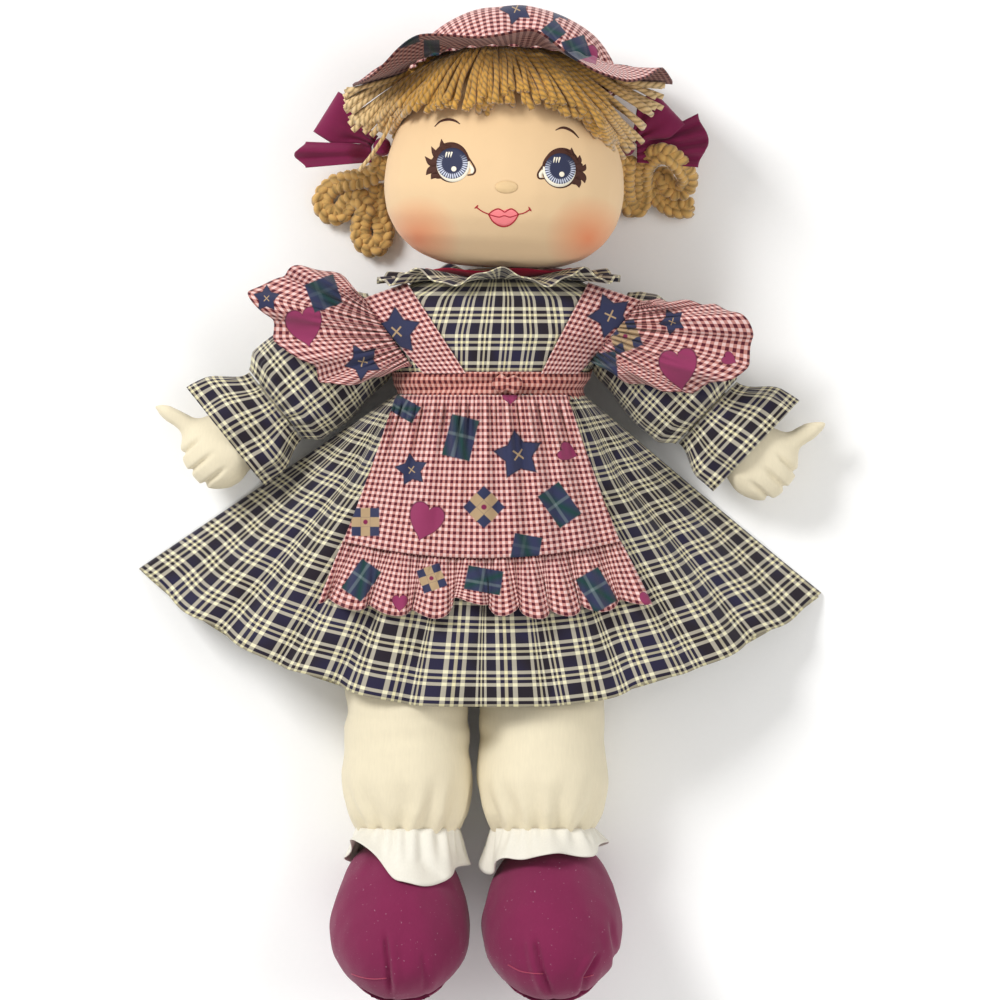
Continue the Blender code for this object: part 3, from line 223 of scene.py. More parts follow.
def top_of(tree, x, y, fallback=None):
    """Height of the topmost surface over a plan place."""
    hit = tree.ray_cast(Vector((x, y, 0.5)), Vector((0, 0, -1)))[0]
    return hit.z if hit else fallback


def seat(piece, node, body):
    """Lets a piece stand for a CAD node and move with a body."""
    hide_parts(node)
    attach(piece, body)


def add_thickness(piece, thickness, offset=0.0):
    wall = piece.modifiers.new("cloth", "SOLIDIFY")
    wall.thickness = thickness
    wall.offset = offset


def shift(verts, move):
    """Moves every vertex by move(vertex), worked out before any has moved."""
    for vert, way in zip(verts, [move(vert) for vert in verts]):
        vert.co += way


def relax(bm, verts, factor, times):
    axes = {"use_axis_x": True, "use_axis_y": True, "use_axis_z": True}
    for _ in range(times):
        bmesh.ops.smooth_vert(bm, verts=verts, factor=factor, **axes)


def walk(points):
    """Distance from the first point to each point along the way."""
    walked = [0.0]
    for a, b in zip(points, points[1:]):
        walked.append(walked[-1] + (b - a).length)
    return walked


def heading(points, at):
    """The way from the point before to the point after."""
    return points[min(at + 1, len(points) - 1)] - points[max(at - 1, 0)]


def cut_cloth(wide, long, u=0.0, v=0.0):
    """A map for a straight-cut sheet of a given size, at a place of the print."""
    return lambda across, along: (across * wide + u, along * long + v)


def tailored(name, columns, rows, point, material, closed=False, crease=0.0, uv=None,
             thickness=None, seam_shift=(0.0, 0.0)):
    """A sheet of cloth. point(across, along) places it; its UV map is its own flat measure in metres."""
    tries = [count / 8 for count in range(9)]
    wide = max(walk([point(count / 96, along) for count in range(97)])[-1] for along in tries)
    long = max(walk([point(across, count / 24) for count in range(25)])[-1] for across in tries)
    bm = bmesh.new()
    bmesh.ops.create_grid(bm, x_segments=columns, y_segments=rows, size=0.5)
    layer = bm.loops.layers.uv.new("cloth")
    for face in bm.faces:
        for loop in face.loops:
            across, along = loop.vert.co.x + 0.5, loop.vert.co.y + 0.5
            u, v = uv(across, along) if uv else (across * wide, along * long)
            loop[layer].uv = (u + seam_shift[0], v + seam_shift[1])
    for vert in bm.verts:
        vert.co = point(vert.co.x + 0.5, vert.co.y + 0.5)
    if closed:
        bmesh.ops.remove_doubles(bm, verts=bm.verts, dist=0.02 * MM)
    if crease:
        bm.normal_update()
        shift(bm.verts, lambda vert: vert.normal * crease * ripple(vert.co, 0.014, 3))
    area = sum(face.calc_area() for face in bm.faces)
    piece = put(name, bm, material)
    add_thickness(piece, thickness or sizes().cloth)
    return piece


def tube(bm, points, radius, sides):
    """A round tube along points; its UV map runs round it and along it in metres."""
    layer = bm.loops.layers.uv.get("strand") or bm.loops.layers.uv.new("strand")
    count = len(points)
    made = bmesh.ops.create_grid(bm, x_segments=sides, y_segments=count - 1, size=0.5)["verts"]
    walked = walk(points)
    frames = []
    side = heading(points, 0).normalized().orthogonal()
    for at in range(count):
        way = heading(points, at).normalized()
        side = (side - way * side.dot(way)).normalized()
        frames.append((side, way.cross(side)))
    for face in {face for vert in made for face in vert.link_faces}:
        for loop in face.loops:
            across = loop.vert.co.x + 0.5
            at = round((loop.vert.co.y + 0.5) * (count - 1))
            loop[layer].uv = (across, walked[at])
    for vert in made:
        angle = TURN * (vert.co.x + 0.5)
        at = round((vert.co.y + 0.5) * (count - 1))
        thick = radius(at / (count - 1)) if callable(radius) else radius
        first, second = frames[at]
        vert.co = points[at] + first * (cos(angle) * thick) + second * (sin(angle) * thick)
    bmesh.ops.remove_doubles(bm, verts=made, dist=0.001 * MM)


def close_ends(bm):
    """Closes open rims and turns every face outwards."""
    bmesh.ops.holes_fill(bm, edges=[edge for edge in bm.edges if edge.is_boundary], sides=0)
    bmesh.ops.recalc_face_normals(bm, faces=bm.faces)


def smooth_route(points, steps):
    """A curve through the points."""
    route = []
    padded = [points[0] * 2 - points[1]] + points + [points[-1] * 2 - points[-2]]
    for a, b, c, d in zip(padded, padded[1:], padded[2:], padded[3:]):
        for count in range(steps):
            t = count / steps
            pull = (a * 2 - b * 5 + c * 4 - d) * t**2
            route.append((b * 2 + (c - a) * t + pull + (b * 3 - a - c * 3 + d) * t**3) / 2)
    return route + [points[-1]]


# Shader arithmetic


def arithmetic(operation, swapped=False):
    """A method that adds one Math node for the operation."""
    return lambda self, *others: self.calc(operation, *((*others, self) if swapped else (self, *others)))


class Amount:
    """A shader value that takes part in Python arithmetic; each step adds one Math node."""

    def __init__(self, tree, socket):
        self.tree = tree
        self.socket = socket

    def calc(self, operation, *items, clamp=False):
        node = self.tree.nodes.new("ShaderNodeMath")
        node.operation = operation
        node.use_clamp = clamp
        for slot, item in zip(node.inputs, items):
            if isinstance(item, Amount):
                self.tree.links.new(item.socket, slot)
            else:
                slot.default_value = item
        return Amount(self.tree, node.outputs[0])

    __add__ = arithmetic("ADD")
    __radd__ = arithmetic("ADD", True)
    __sub__ = arithmetic("SUBTRACT")
    __rsub__ = arithmetic("SUBTRACT", True)
    __mul__ = arithmetic("MULTIPLY")
    __rmul__ = arithmetic("MULTIPLY", True)
    __truediv__ = arithmetic("DIVIDE")
    most = arithmetic("MAXIMUM")
    least = arithmetic("MINIMUM")
    size = arithmetic("ABSOLUTE")
    wrapped = arithmetic("FRACT")
    sine = arithmetic("SINE")
    cosine = arithmetic("COSINE")
    root = arithmetic("SQRT")
    bearing = arithmetic("ARCTAN2")

    def ramp(self, scale, start):
        """The value times scale plus start, kept between 0 and 1."""
        return self.calc("MULTIPLY_ADD", self, scale, start, clamp=True)

    def under(self, limit, soft):
        """1 where the value is under the limit, 0 where it is over, with an edge of a given softness."""
        return self.ramp(-1 / soft, limit / soft + 0.5)


class Finish:
    """One cloth or thread finish, built from nodes round a Principled shader."""

    def __init__(self, name, slot, roughness=0.9, sheen=0.15):
        self.material = bpy.data.materials.new(name)
        self.material["record_slot"] = slot
        self.material.use_nodes = True
        self.tree = self.material.node_tree
        self.shader = self.tree.nodes["Principled BSDF"]
        self.shader.inputs["Roughness"].default_value = roughness
        self.shader.inputs["Specular IOR Level"].default_value = 0.25
        self.shader.inputs["Sheen Weight"].default_value = sheen
        self.shader.inputs["Sheen Roughness"].default_value = 0.5

    def node(self, kind, settings=None, inputs=None, output=0):
        made = self.tree.nodes.new(kind)
        for key, value in (settings or {}).items():
            setattr(made, key, value)
        for key, value in (inputs or {}).items():
            slot = made.inputs[key]
            if isinstance(value, Amount):
                self.tree.links.new(value.socket, slot)
            else:
                slot.default_value = value
        return Amount(self.tree, made.outputs[output])

    def parts(self, vector):
        made = self.tree.nodes.new("ShaderNodeSeparateXYZ")
        self.tree.links.new(vector.socket, made.inputs[0])
        return [Amount(self.tree, out) for out in made.outputs]

    def place(self):
        return self.node("ShaderNodeTexCoord", output="Object")

    def uv(self, name="cloth"):
        return self.node("ShaderNodeUVMap", {"uv_map": name})

    def grain(self, vector, scale, detail=2.0, stretch=None):
        if stretch:
            vector = self.node("ShaderNodeMapping", None, {"Vector": vector, "Scale": stretch})
        settings = {"Vector": vector, "Scale": scale, "Detail": detail, "Roughness": 0.55}
        return self.node("ShaderNodeTexNoise", None, settings)

    def shade(self, factor, first, second, blend="MIX"):
        """Mixes two colours; a colour is a tuple or an earlier shade."""
        made = self.tree.nodes.new("ShaderNodeMix")
        made.data_type = "RGBA"
        made.blend_type = blend
        for slot, value in ((made.inputs[0], factor), (made.inputs[6], first), (made.inputs[7], second)):
            if isinstance(value, Amount):
                self.tree.links.new(value.socket, slot)
            elif isinstance(value, (int, float)):
                slot.default_value = value
            else:
                slot.default_value = (*tuple(value)[:3], 1)
        return Amount(self.tree, made.outputs[2])

    def done(self, colour, height=None, distance=0.1 * MM, strength=0.5):
        """Connects the colour and the bumps, and gives the material."""
        if isinstance(colour, Amount):
            self.tree.links.new(colour.socket, self.shader.inputs["Base Color"])
        else:
            self.shader.inputs["Base Color"].default_value = (*tuple(colour)[:3], 1)
        if height:
            bump = self.tree.nodes.new("ShaderNodeBump")
            bump.inputs["Distance"].default_value = distance
            bump.inputs["Strength"].default_value = strength
            self.tree.links.new(height.socket, bump.inputs["Height"])
            self.tree.links.new(bump.outputs[0], self.shader.inputs["Normal"])
        return self.material


def weave(u, v, pitch=0.62 * MM):
    """Height of a plain weave: threads pass over and under each other."""
    return (u * (TURN / pitch)).sine() * (v * (TURN / pitch)).sine()


def dimmed(colour, share):
    """A colour times a number, or times one number for each channel."""
    shares = share if isinstance(share, tuple) else (share,) * 3
    return tuple(value * part for value, part in zip(colour, shares))


def worn(finish, colour, vector, scale=60.0, amount=0.12):
    """Uneven dye and slight fading."""
    patchy = finish.grain(vector, scale, 4)
    faded = finish.shade(patchy, (1 - amount,) * 3, (1 + amount,) * 3)
    return finish.shade(1.0, colour, faded, "MULTIPLY")


def plaid_cotton():
    """Near-black cotton crossed by groups of three pale lines."""
    tint, pitch = colours(), sizes().plaid_pitch
    finish = Finish("dress_plaid", "plaid_cotton", 0.85)
    place = finish.uv()
    u, v, _ = finish.parts(place)
    lines, cores = [], []
    for run in (u, v):
        off = ((run / pitch).wrapped() - 0.5).size()
        core = off.under(0.045, 0.012)
        lines.append((off - 0.2295).size().under(0.0625, 0.012) + core)
        cores.append(core)
    level = (lines[0] + lines[1]) / 2
    threads = weave(u, v)
    patchy = finish.grain(place, 90, 3)
    # Navy blotches over the ground stand partly for uneven dye and partly for a painted bluish sheen.
    blotch = finish.grain(place, 30, 1).ramp(5.0, -2.1)
    ground = finish.shade(patchy, tint.plaid_dark, dimmed(tint.plaid_dark, 1.5))
    ground = finish.shade(blotch * 0.65, ground, srgb(36, 34, 66))
    single = finish.shade(threads * 0.25 + 0.5, tint.plaid_single, dimmed(tint.plaid_single, 0.84))
    colour = finish.shade((level * 2).least(1.0), ground, single)
    colour = finish.shade((level * 2 - 1).most(0.0), colour, tint.plaid_double)
    yellow = (cores[0] + cores[1]).least(1.0) * 0.35
    colour = finish.shade(yellow, colour, finish.shade(1.0, colour, (1.0, 0.94, 0.62), "MULTIPLY"))
    height = threads * 0.35 + finish.grain(place, 420, 2) + level * 0.3
    return finish.done(worn(finish, colour, place), height, 0.16 * MM, 0.45)


def turned(u, v, x, y, size, degrees):
    """Coordinates that run from -1 to 1 over a printed motif."""
    along, over = cos(radians(degrees)) / size, sin(radians(degrees)) / size
    a, b = u - x, v - y
    return a * along + b * over, b * along - a * over


def star_mask(across, up):
    """A plain five-pointed star."""
    sector = TURN / 5
    turn = across.bearing(up)
    reach = (across * across + up * up).root()
    fold = ((turn / sector + 10.5).wrapped() - 0.5).size() * sector
    inner = 0.56  # the notches' share of the tips' radius
    near = reach * fold.cosine() - 1
    wide = reach * fold.sine()
    return (wide * (1 - inner * cos(sector / 2)) + near * (inner * sin(sector / 2))).under(0.0, 0.04)


def heart_mask(across, up):
    """A plain heart."""
    lobe = up * 1.15 + 0.12 - across.size().root() * 0.72
    return (across * across * 1.15 + lobe * lobe).under(0.62, 0.09)


def square_mask(across, up, tall=1.0):
    return across.size().most(up.size() / tall).under(1.0, 0.08)


def printed(finish, colour, u, v, motifs):
    """Prints plain country motifs over a colour; each is kind, x, y, half size, turn."""
    tint = colours()
    for kind, x, y, size, degrees in motifs:
        across, up = turned(u, v, x, y, size, degrees)
        if kind in ("star", "heart"):
            star, heart = (star_mask, 0.93, tint.navy), (heart_mask, 0.95, tint.heart)
            outline, rim, ink = star if kind == "star" else heart
            mask = outline(across, up)
            colour = finish.shade(outline(across * rim, up * rim), colour, dimmed(ink, 0.3))
            colour = finish.shade(mask, colour, ink)
            if kind == "star":
                rising, falling = (across - up).size(), (across + up).size()
                first = rising.under(0.05, 0.03) * falling.under(0.4, 0.05)
                second = falling.under(0.05, 0.03) * rising.under(0.4, 0.05)
                colour = finish.shade(first.most(second) * mask, colour, tint.tan)
        elif kind == "patch":
            middle_x, middle_y = across.size().under(0.34, 0.05), up.size().under(0.34, 0.05)
            check = middle_x + middle_y - middle_x * middle_y * 2
            patch = finish.shade(check.most(middle_x * middle_y), tint.navy, tint.tan)
            patch = finish.shade((across * across + up * up).under(0.03, 0.02), patch, tint.burgundy)
            colour = finish.shade(square_mask(across, up), colour, patch)
        else:
            tall, bright = (1.5, 0.32) if kind == "tartan" else (1.0, 0.1)
            bars = (across * 1.2 + 0.3).size().under(0.14, 0.1) + (up * 1.2 - 0.2).size().under(0.14, 0.1)
            ground = finish.shade((across * 2 + up).sine().size(), tint.green, tint.navy)
            ground = finish.shade((bars * bright).least(1.0), ground, (0.22, 0.28, 0.28))
            colour = finish.shade(square_mask(across, up, tall), colour, ground)
    return colour


def gingham_cotton(name, motifs=(), light=1.0):
    """Small maroon checks on pink, with plain printed motifs; a light below 1 darkens and browns the cloth as
    painted shade.
    """
    tint, pitch = colours(), sizes().gingham_pitch
    finish = Finish(name, "gingham_cotton", 0.85)
    place = finish.uv()
    u, v, _ = finish.parts(place)
    bars = [((run / pitch).wrapped() - 0.5).size().under(0.26, 0.07) for run in (u, v)]
    level = (bars[0] + bars[1]) / 2
    orange = dimmed(tint.gingham_single, (1.0, 0.9, 0.74))
    single = finish.shade(finish.grain(place, 26, 2), tint.gingham_single, orange)
    colour = finish.shade((level * 2).least(1.0), tint.gingham_light, single)
    colour = finish.shade((level * 2 - 1).most(0.0), colour, tint.gingham_double)
    if motifs:
        across, up, _ = finish.parts(finish.uv("print"))
        colour = printed(finish, colour, across, up, motifs)
    # Painted shade: a light below 1 darkens the whole cloth and warms it towards brown.
    if light < 1:
        colour = finish.shade(1.0, colour, (light, light * 0.8, light * 0.72), "MULTIPLY")
    height = weave(u, v) * 0.35 + finish.grain(place, 420, 2)
    return finish.done(worn(finish, colour, place, 40, 0.1), height, 0.15 * MM, 0.45)


def plain_cotton(name, slot, colour, spread=0.1, lint=0.0):
    """One-colour cotton with its weave, uneven dye and bits of lint."""
    finish = Finish(name, slot, 0.88)
    place = finish.place()
    x, y, z = finish.parts(place)
    height = weave(x + z * 0.35, y + z * 0.35) * 0.35 + finish.grain(place, 420, 3)
    shade = worn(finish, tuple(colour), place, 45, spread)
    slub = finish.grain(place, 900, 1, (1.0, 0.12, 1.0))
    shade = finish.shade(slub * 0.18, shade, dimmed(colour, 0.55))
    if lint:
        specks = finish.grain(place, 520, 1)
        shade = finish.shade((specks - lint).most(0.0) * 3.0, shade, (0.7, 0.5, 0.6))
    return finish.done(shade, height, 0.14 * MM, 0.45)


def far_from(x, y, centre):
    a, b = x - centre[0], y - centre[1]
    return (a * a + b * b).root()


def face_cloth():
    """Close-knit peach cloth with colour rubbed into the cheeks."""
    tint = colours()
    finish = Finish("face_knit", "face_cloth", 0.8)
    place = finish.place()
    x, y, _ = finish.parts(place)
    colour = worn(finish, tuple(tint.skin), place, 30, 0.05)
    # Painted shade: the face cloth turns darker and browner towards the top of the head, under the brim.
    colour = finish.shade(y.ramp(9.0, -0.55) * 0.35, colour, dimmed(tint.skin, (0.94, 0.84, 0.66)))
    for cheek in ((418, 240), (588, 240)):
        rub = far_from(x, y, spot(*cheek)).under(14 * MM, 26 * MM)
        colour = finish.shade(rub * 0.95, colour, tint.blush)
    height = weave(x, y, 0.8 * MM) * 0.4 + finish.grain(place, 500, 3)
    return finish.done(colour, height, 0.10 * MM, 0.35)


def yarn_finish(name, pale_ends):
    """Twisted wool: the plies wind round the strand."""
    tint = colours()
    finish = Finish(name, "yarn", 0.95, 0.4)
    place = finish.uv("strand")
    around, along, _ = finish.parts(place)
    twist = ((around * 2 + along / (4.6 * MM)).wrapped() - 0.5).size() * 2
    fibre = finish.grain(finish.place(), 1500, 3)
    broad = finish.grain(finish.place(), 55, 2)
    base = finish.shade(broad, dimmed(tint.yarn, 0.66), tuple(min(value * 1.4, 1) for value in tint.yarn))
    if pale_ends:
        across, _, _ = finish.parts(finish.place())
        faded = (across - 0.009).size().ramp(30.0, -1.75)
        base = finish.shade(faded * 0.8, base, srgb(232, 206, 160))
    else:
        base = finish.shade(0.45, base, srgb(222, 184, 120))
    groove = twist * twist
    # Painted shade: the grooves between the plies are darkened.
    colour = finish.shade(groove * 0.8, base, dimmed(tint.yarn, 0.26))
    colour = finish.shade(fibre * 0.18, colour, (0.9, 0.72, 0.38))
    height = 1 - groove + fibre * 0.35
    return finish.done(colour, height, 0.5 * MM, 0.8)


def thread_finish(name, colour):
    """Satin stitches laid side by side."""
    finish = Finish(name, "satin_thread", 0.45, 0.1)
    place = finish.place()
    x, _, _ = finish.parts(place)
    rows = (x * (TURN / (0.5 * MM))).sine()
    # Painted shade: the thread darkens where the bumps dip between the rows of stitches.
    shade = finish.shade(rows * 0.5 + 0.5, dimmed(colour, 0.86), tuple(colour))
    return finish.done(shade, rows, 0.12 * MM, 0.7)


def ink_finish(name, colour, variation=0.12):
    """Fabric ink that has soaked into the weave."""
    finish = Finish(name, "printed_ink", 0.8, 0.0)
    place = finish.place()
    x, y, _ = finish.parts(place)
    shade = worn(finish, tuple(colour), place, 900, variation)
    return finish.done(shade, weave(x, y, 0.8 * MM) * 0.4 + finish.grain(place, 600, 2), 0.05 * MM, 0.3)


def iris_finish(name, centre):
    """Slate blue ink with a paler rim of fine rays on the lower half."""
    tint = colours()
    finish = Finish(name, "printed_ink", 0.7, 0.0)
    x, y, _ = finish.parts(finish.place())
    a, b = x - centre[0], y - centre[1]
    rays = ((a.bearing(b) * 36.0).sine() * 0.5 + 0.5).under(0.55, 0.5)
    rim = (far_from(x, y, centre) - 8.0 * MM).size().under(1.5 * MM, 0.8 * MM)
    rim = rim * (b / (9 * MM)).under(0.3, 0.6)
    weft = weave(x, y, 0.9 * MM) * 0.5 + 0.5
    colour = finish.shade(weft * 0.35, tint.iris, dimmed(tint.iris, 1.9))
    colour = finish.shade(rays * rim, colour, (0.62, 0.66, 0.78))
    return finish.done(colour, finish.grain(finish.place(), 600, 2), 0.05 * MM, 0.3)


# Stuffed pieces


def stuffed_copy(name, node, voxel, shrink):
    """An even mesh of a CAD node, a little smaller, ready to be stuffed."""
    bm = bmesh.new()
    bm.from_mesh(frame["nodes"][node].data)
    bmesh.ops.remove_doubles(bm, verts=bm.verts, dist=0.01 * MM)
    piece = put(name, bm)
    even = piece.modifiers.new("even", "REMESH")
    even.mode = "VOXEL"
    even.voxel_size = voxel
    settle_modifiers(piece)
    bm = bmesh.new()
    bm.from_mesh(piece.data)
    relax(bm, bm.verts, 0.5, 4)
    bm.normal_update()
    shift(bm.verts, lambda vert: -vert.normal * shrink)
    bm.to_mesh(piece.data)
    bm.free()
    return piece


def stuff(pieces, cap):
    """Blows the pieces up with cloth pressure and keeps the result, with no point moved further than cap."""
    rest = {}
    for piece in pieces:
        rest[piece.name] = [vert.co.copy() for vert in piece.data.vertices]
        cloth = piece.modifiers.new("stuffing", "CLOTH")
        cloth.settings.quality = 4
        cloth.settings.use_pressure = True
        cloth.settings.uniform_pressure_force = 4
        cloth.settings.effector_weights.gravity = 0
        cloth.settings.bending_stiffness = 4
        cloth.point_cache.frame_start = 1
        cloth.point_cache.frame_end = 20
    scene = bpy.context.scene
    for count in range(1, 21):
        scene.frame_set(count)
    for piece in pieces:
        settle_modifiers(piece)
        for vert, start in zip(piece.data.vertices, rest[piece.name]):
            move = vert.co - start
            if move.length > cap:
                vert.co = start + move.normalized() * cap
    scene.frame_set(1)


def finish_stuffed(piece, material, node, body, relief, form, fill):
    """Subdivides once, presses in folds, and hands the piece to its body."""
    finer = piece.modifiers.new("finer", "SUBSURF")
    finer.levels = finer.render_levels = 1
    settle_modifiers(piece)
    mesh = piece.data
    if relief:
        shift(mesh.vertices, lambda vert: vert.normal * relief(vert.co))
    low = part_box(node)[0].z
    for vert in mesh.vertices:
        if form:
            vert.co = form(vert.co)
        vert.co.z = max(vert.co.z, low)
    mesh.materials.clear()
    mesh.materials.append(material)
    mesh.shade_smooth()
    seat(piece, node, body)


HIPS = {side: pivot("leg_" + word) for side, word in SIDES}
ANKLE_HEIGHT = pivot("foot_left").y
BODY_AXIS = 0.0441
BODICE_FOOT = -0.0335


def body_middle(y):
    """The body leans a little, so its middle moves sideways with height."""
    return 0.082 * (y + 0.034)


def around_body(tree, angle, y):
    """A place on the surface round the body, and the way out through it."""
    centre = Vector((body_middle(y), y, BODY_AXIS))
    way = Vector((cos(angle), 0, sin(angle)))
    hit = tree.ray_cast(centre + way * 0.15, -way)[0] or tree.find_nearest(centre + way * 0.05)[0]
    return hit, way


def leg_relief(side):
    """Gathers at the ankle, slack cloth over the shin, and stuffing that fills it out."""
    hip = HIPS[side]

    def relief(place):
        turn = math.atan2(place.z - hip.z, place.x - hip.x)
        down = place.y - ANKLE_HEIGHT
        crease = cos(13 * turn + 2.5 * ripple(place, 0.03, side))
        gather = bump_at(down, 0.004, 0.034) * crease * abs(crease) ** 0.5 * 1.9 * MM
        slack = ripple((place.x * 0.4, place.y * 1.5, place.z * 0.5), 0.018, 5 + side)
        slack = 2.5 * MM * (slack - max(slack, 0) ** 2) * ease((down - 0.015) / 0.05)
        full = 1.7 * MM + 3.4 * MM * ease((0.056 - down) / 0.030) * ease((down + 0.012) / 0.024)
        return gather + slack + full + ripple(place, 0.04, 9) * 0.8 * MM

    return relief


# Places on the drawing grid: three along each dart, and how deep it is
TOE_DARTS = {
    -1: (((385, 926), (389, 958), (392, 1000), 1.0), ((422, 948), (425, 970), (424, 1000), 0.35)),
    1: (((534, 930), (541, 968), (554, 1000), 1.0), ((599, 948), (585, 974), (579, 1000), 0.8),
        ((609, 916), (614, 960), (612, 985), 0.5)),
}
TOE_SEAMS = {
    -1: (((352, 972.5), (362, 975.5), (374, 977), (387, 976)),),
    1: (((508, 963), (520, 969), (532, 971), (543, 971.5)), ((583, 975.5), (588, 974.5), (593, 973))),
}


def shoe_relief(side):
    def relief(place):
        depth = 0.0
        for start, bend, end, share in TOE_DARTS[side]:
            (x0, y0), (x1, _), (x2, y2) = spot(*start), spot(*bend), spot(*end)
            if place.y > y0 or place.z < 0.004:
                continue
            along = (y0 - place.y) / (y0 - y2)
            x = mix(x0, x1, along * 2) if along < 0.5 else mix(x1, x2, along * 2 - 1)
            off = place.x - x
            fade = ease(along * 4) * share
            fade *= 1 - 0.85 * ease((along - 0.72) / 0.22)
            depth -= 3.0 * MM * ease(1 - abs(off) / (2.6 * MM)) * fade
            depth += 1.7 * MM * bump_at(off, side * -4.0 * MM, 4.5 * MM) * fade
        slack = ripple((place.x * 1.3, place.y * 0.8, place.z), 0.016, 2 * side) * 0.8 * MM
        return depth + slack + ripple(place, 0.05, 4) * 0.8 * MM

    return relief


def arm_relief(side):
    """Three lines between the fingers, and slight dents."""
    away = arm_direction(side)
    broad = FRONT.cross(away)

    def relief(place):
        out = (place - SHOULDERS[side]).dot(away)
        over = (place - SHOULDERS[side]).dot(broad)
        groove = sum(bump_at(over, at * MM, 2.6 * MM) for at in (-13, -1, 11))
        fingers = -2.6 * MM * groove * ease((out - 0.108) / 0.012)
        return fingers + ripple(place, 0.012, 6 * side) * 0.5 * MM + ripple(place, 0.03, 3) * 0.6 * MM

    return relief


def head_relief(place):
    return ripple(place, 0.06, 1) * 0.5 * MM + 1.9 * MM


def shoe_form(side, pushed=0.0):
    """Narrows the shoe towards its opening and raises it; pushed moves it towards the toes."""
    middle = pivot("foot_" + ("left" if side < 0 else "right")).x + side * 5 * MM

    def form(place):
        rise = (place.y + 0.366) / 0.050
        wide = 1 - 0.11 * ease(rise) + 0.035 * bump_at(rise, -0.35, 0.9)
        raised = place.y + 8.5 * MM * ease((rise + 0.1) / 0.9)
        return Vector((middle + (place.x - middle) * wide, raised - pushed, place.z))

    return form


# Arms


SHOULDERS = {side: pivot("arm_" + word) for side, word in SIDES}


def arm_direction(side):
    """The arms hang down and outwards."""
    drop = radians(38.5 if side < 0 else 43.5)
    return Vector((side * cos(drop), -sin(drop), 0))


def seam_direction(side):
    """The way along the seam between bodice and sleeve."""
    return Vector((-0.29685, 0.95493, 0)) if side < 0 else Vector((0.42895, 0.90333, 0))


def arm_frame(side, distance):
    """The middle of the sleeve at a distance from the shoulder, and the way across it."""
    seam_normal = seam_direction(side).cross(FRONT) * side
    turn = ease((distance + 0.017) / 0.062)
    direction = seam_normal.lerp(arm_direction(side), turn).normalized()
    centre = SHOULDERS[side] + arm_direction(side) * max(distance, 0) + seam_normal * min(distance, 0)
    return centre, FRONT.cross(direction)


# distance from the shoulder, width and depth
SLEEVE = (
    (-0.0158, 0.050, 0.050), (-0.0079, 0.059, 0.057), (0.0, 0.0644, 0.0605), (0.0248, 0.068, 0.0605),
    (0.0400, 0.070, 0.0615), (0.0530, 0.067, 0.0570), (0.062, 0.052, 0.038),
)


def sleeve_size(distance):
    for (a, wide_a, deep_a), (b, wide_b, deep_b) in zip(SLEEVE, SLEEVE[1:]):
        if distance <= b:
            share = ease((distance - a) / (b - a)) * 0.5 + (distance - a) / (b - a) * 0.5
            return mix(wide_a, wide_b, share), mix(deep_a, deep_b, share)
    return SLEEVE[-1][1:]


def sleeve_round(centre, broad, angle, half_wide, half_deep, out):
    return centre + broad * (cos(angle) * (half_wide + out)) + FRONT * (sin(angle) * (half_deep + out))


def make_sleeve(side, word, material):
    def sleeve(across, along):
        angle = TURN * across
        distance = mix(SLEEVE[0][0], SLEEVE[-1][0], along)
        wide, deep = sleeve_size(distance)
        centre, broad = arm_frame(side, distance)
        ends = bump_at(along, 1, 0.28) + bump_at(along, 0, 0.22) * 0.7
        pleat = cos(26 * angle + 1.5 * sin(3 * angle)) * 1.2 * MM * ends
        puff = ripple((centre.x + cos(angle) * 0.03, centre.y, sin(angle) * 0.03), 0.018, side) * 1.5 * MM
        out = pleat + puff * ease(along * 4) * ease(4 - along * 4)
        place = sleeve_round(centre, broad, angle, wide / 2, deep / 2, out)
        place.z = max(place.z, 0.3 * MM)
        return place

    piece = tailored("sleeve_cloth_" + word, 156, 36, sleeve, material,
                     closed=True, seam_shift=(0.003, 0.002))
    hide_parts("sleeve_" + word)
    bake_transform(piece)


def make_cuff(side, word, material):
    def cuff(across, along):
        angle = TURN * across
        distance = 0.0632 + 0.036 * along
        half_wide = mix(0.052, 0.075, ease(along * 1.5)) / 2 - 1.2 * MM
        half_deep = mix(0.038, 0.044, ease(along * 1.5)) / 2 - 1.2 * MM
        wave = 3.0 * MM * cos(7 * angle + 0.4 + sin(2 * angle)) * along
        gather = 0.8 * MM * cos(24 * angle) * bump_at(along, 0, 0.4)
        centre, broad = arm_frame(side, distance)
        centre = centre + broad * (side * 0.005 * ease(along))
        return sleeve_round(centre, broad, angle, half_wide, half_deep, wave + gather)

    piece = tailored("cuff_cloth_" + word, 140, 14, cuff, material,
                     closed=True, seam_shift=(0.006, 0.004), crease=0.5 * MM)
    seat(piece, "cuff_" + word, "arm_" + word)


# Skirt, folds that follow the legs


def follow_legs(piece):
    """The cloth over the thighs lifts with the legs."""
    for side, word in SIDES:
        group = piece.vertex_groups.new(name="leg_" + word)
        hip = HIPS[side]
        for vert in piece.data.vertices:
            down = ease((hip.y + 0.012 - vert.co.y) / 0.050)
            share = ease((side * (vert.co.x + 0.0095) + 0.030) / 0.060) * ease((vert.co.z - 0.008) / 0.055)
            if down * share > 0:
                group.add([vert.index], down * share, "REPLACE")
        lift = piece.modifiers.new("lift_" + word, "HOOK")
        lift.object = frame["bodies"]["leg_" + word]
        lift.vertex_group = group.name
        piece.modifiers.move(len(piece.modifiers) - 1, 0)


SKIRT_TOP, SKIRT_HALF, SKIRT_LENGTH = -0.0356, 0.0558, 0.194
FOLDS = 11


def skirt_angle(side):
    """The skirt fans out from its waist; side runs from -1 to 1."""
    return radians(56 if side < 0 else 50) * side


def skirt_place(side, length):
    x = SKIRT_HALF * side + length * sin(skirt_angle(side))
    return x, SKIRT_TOP - length * cos(skirt_angle(side))


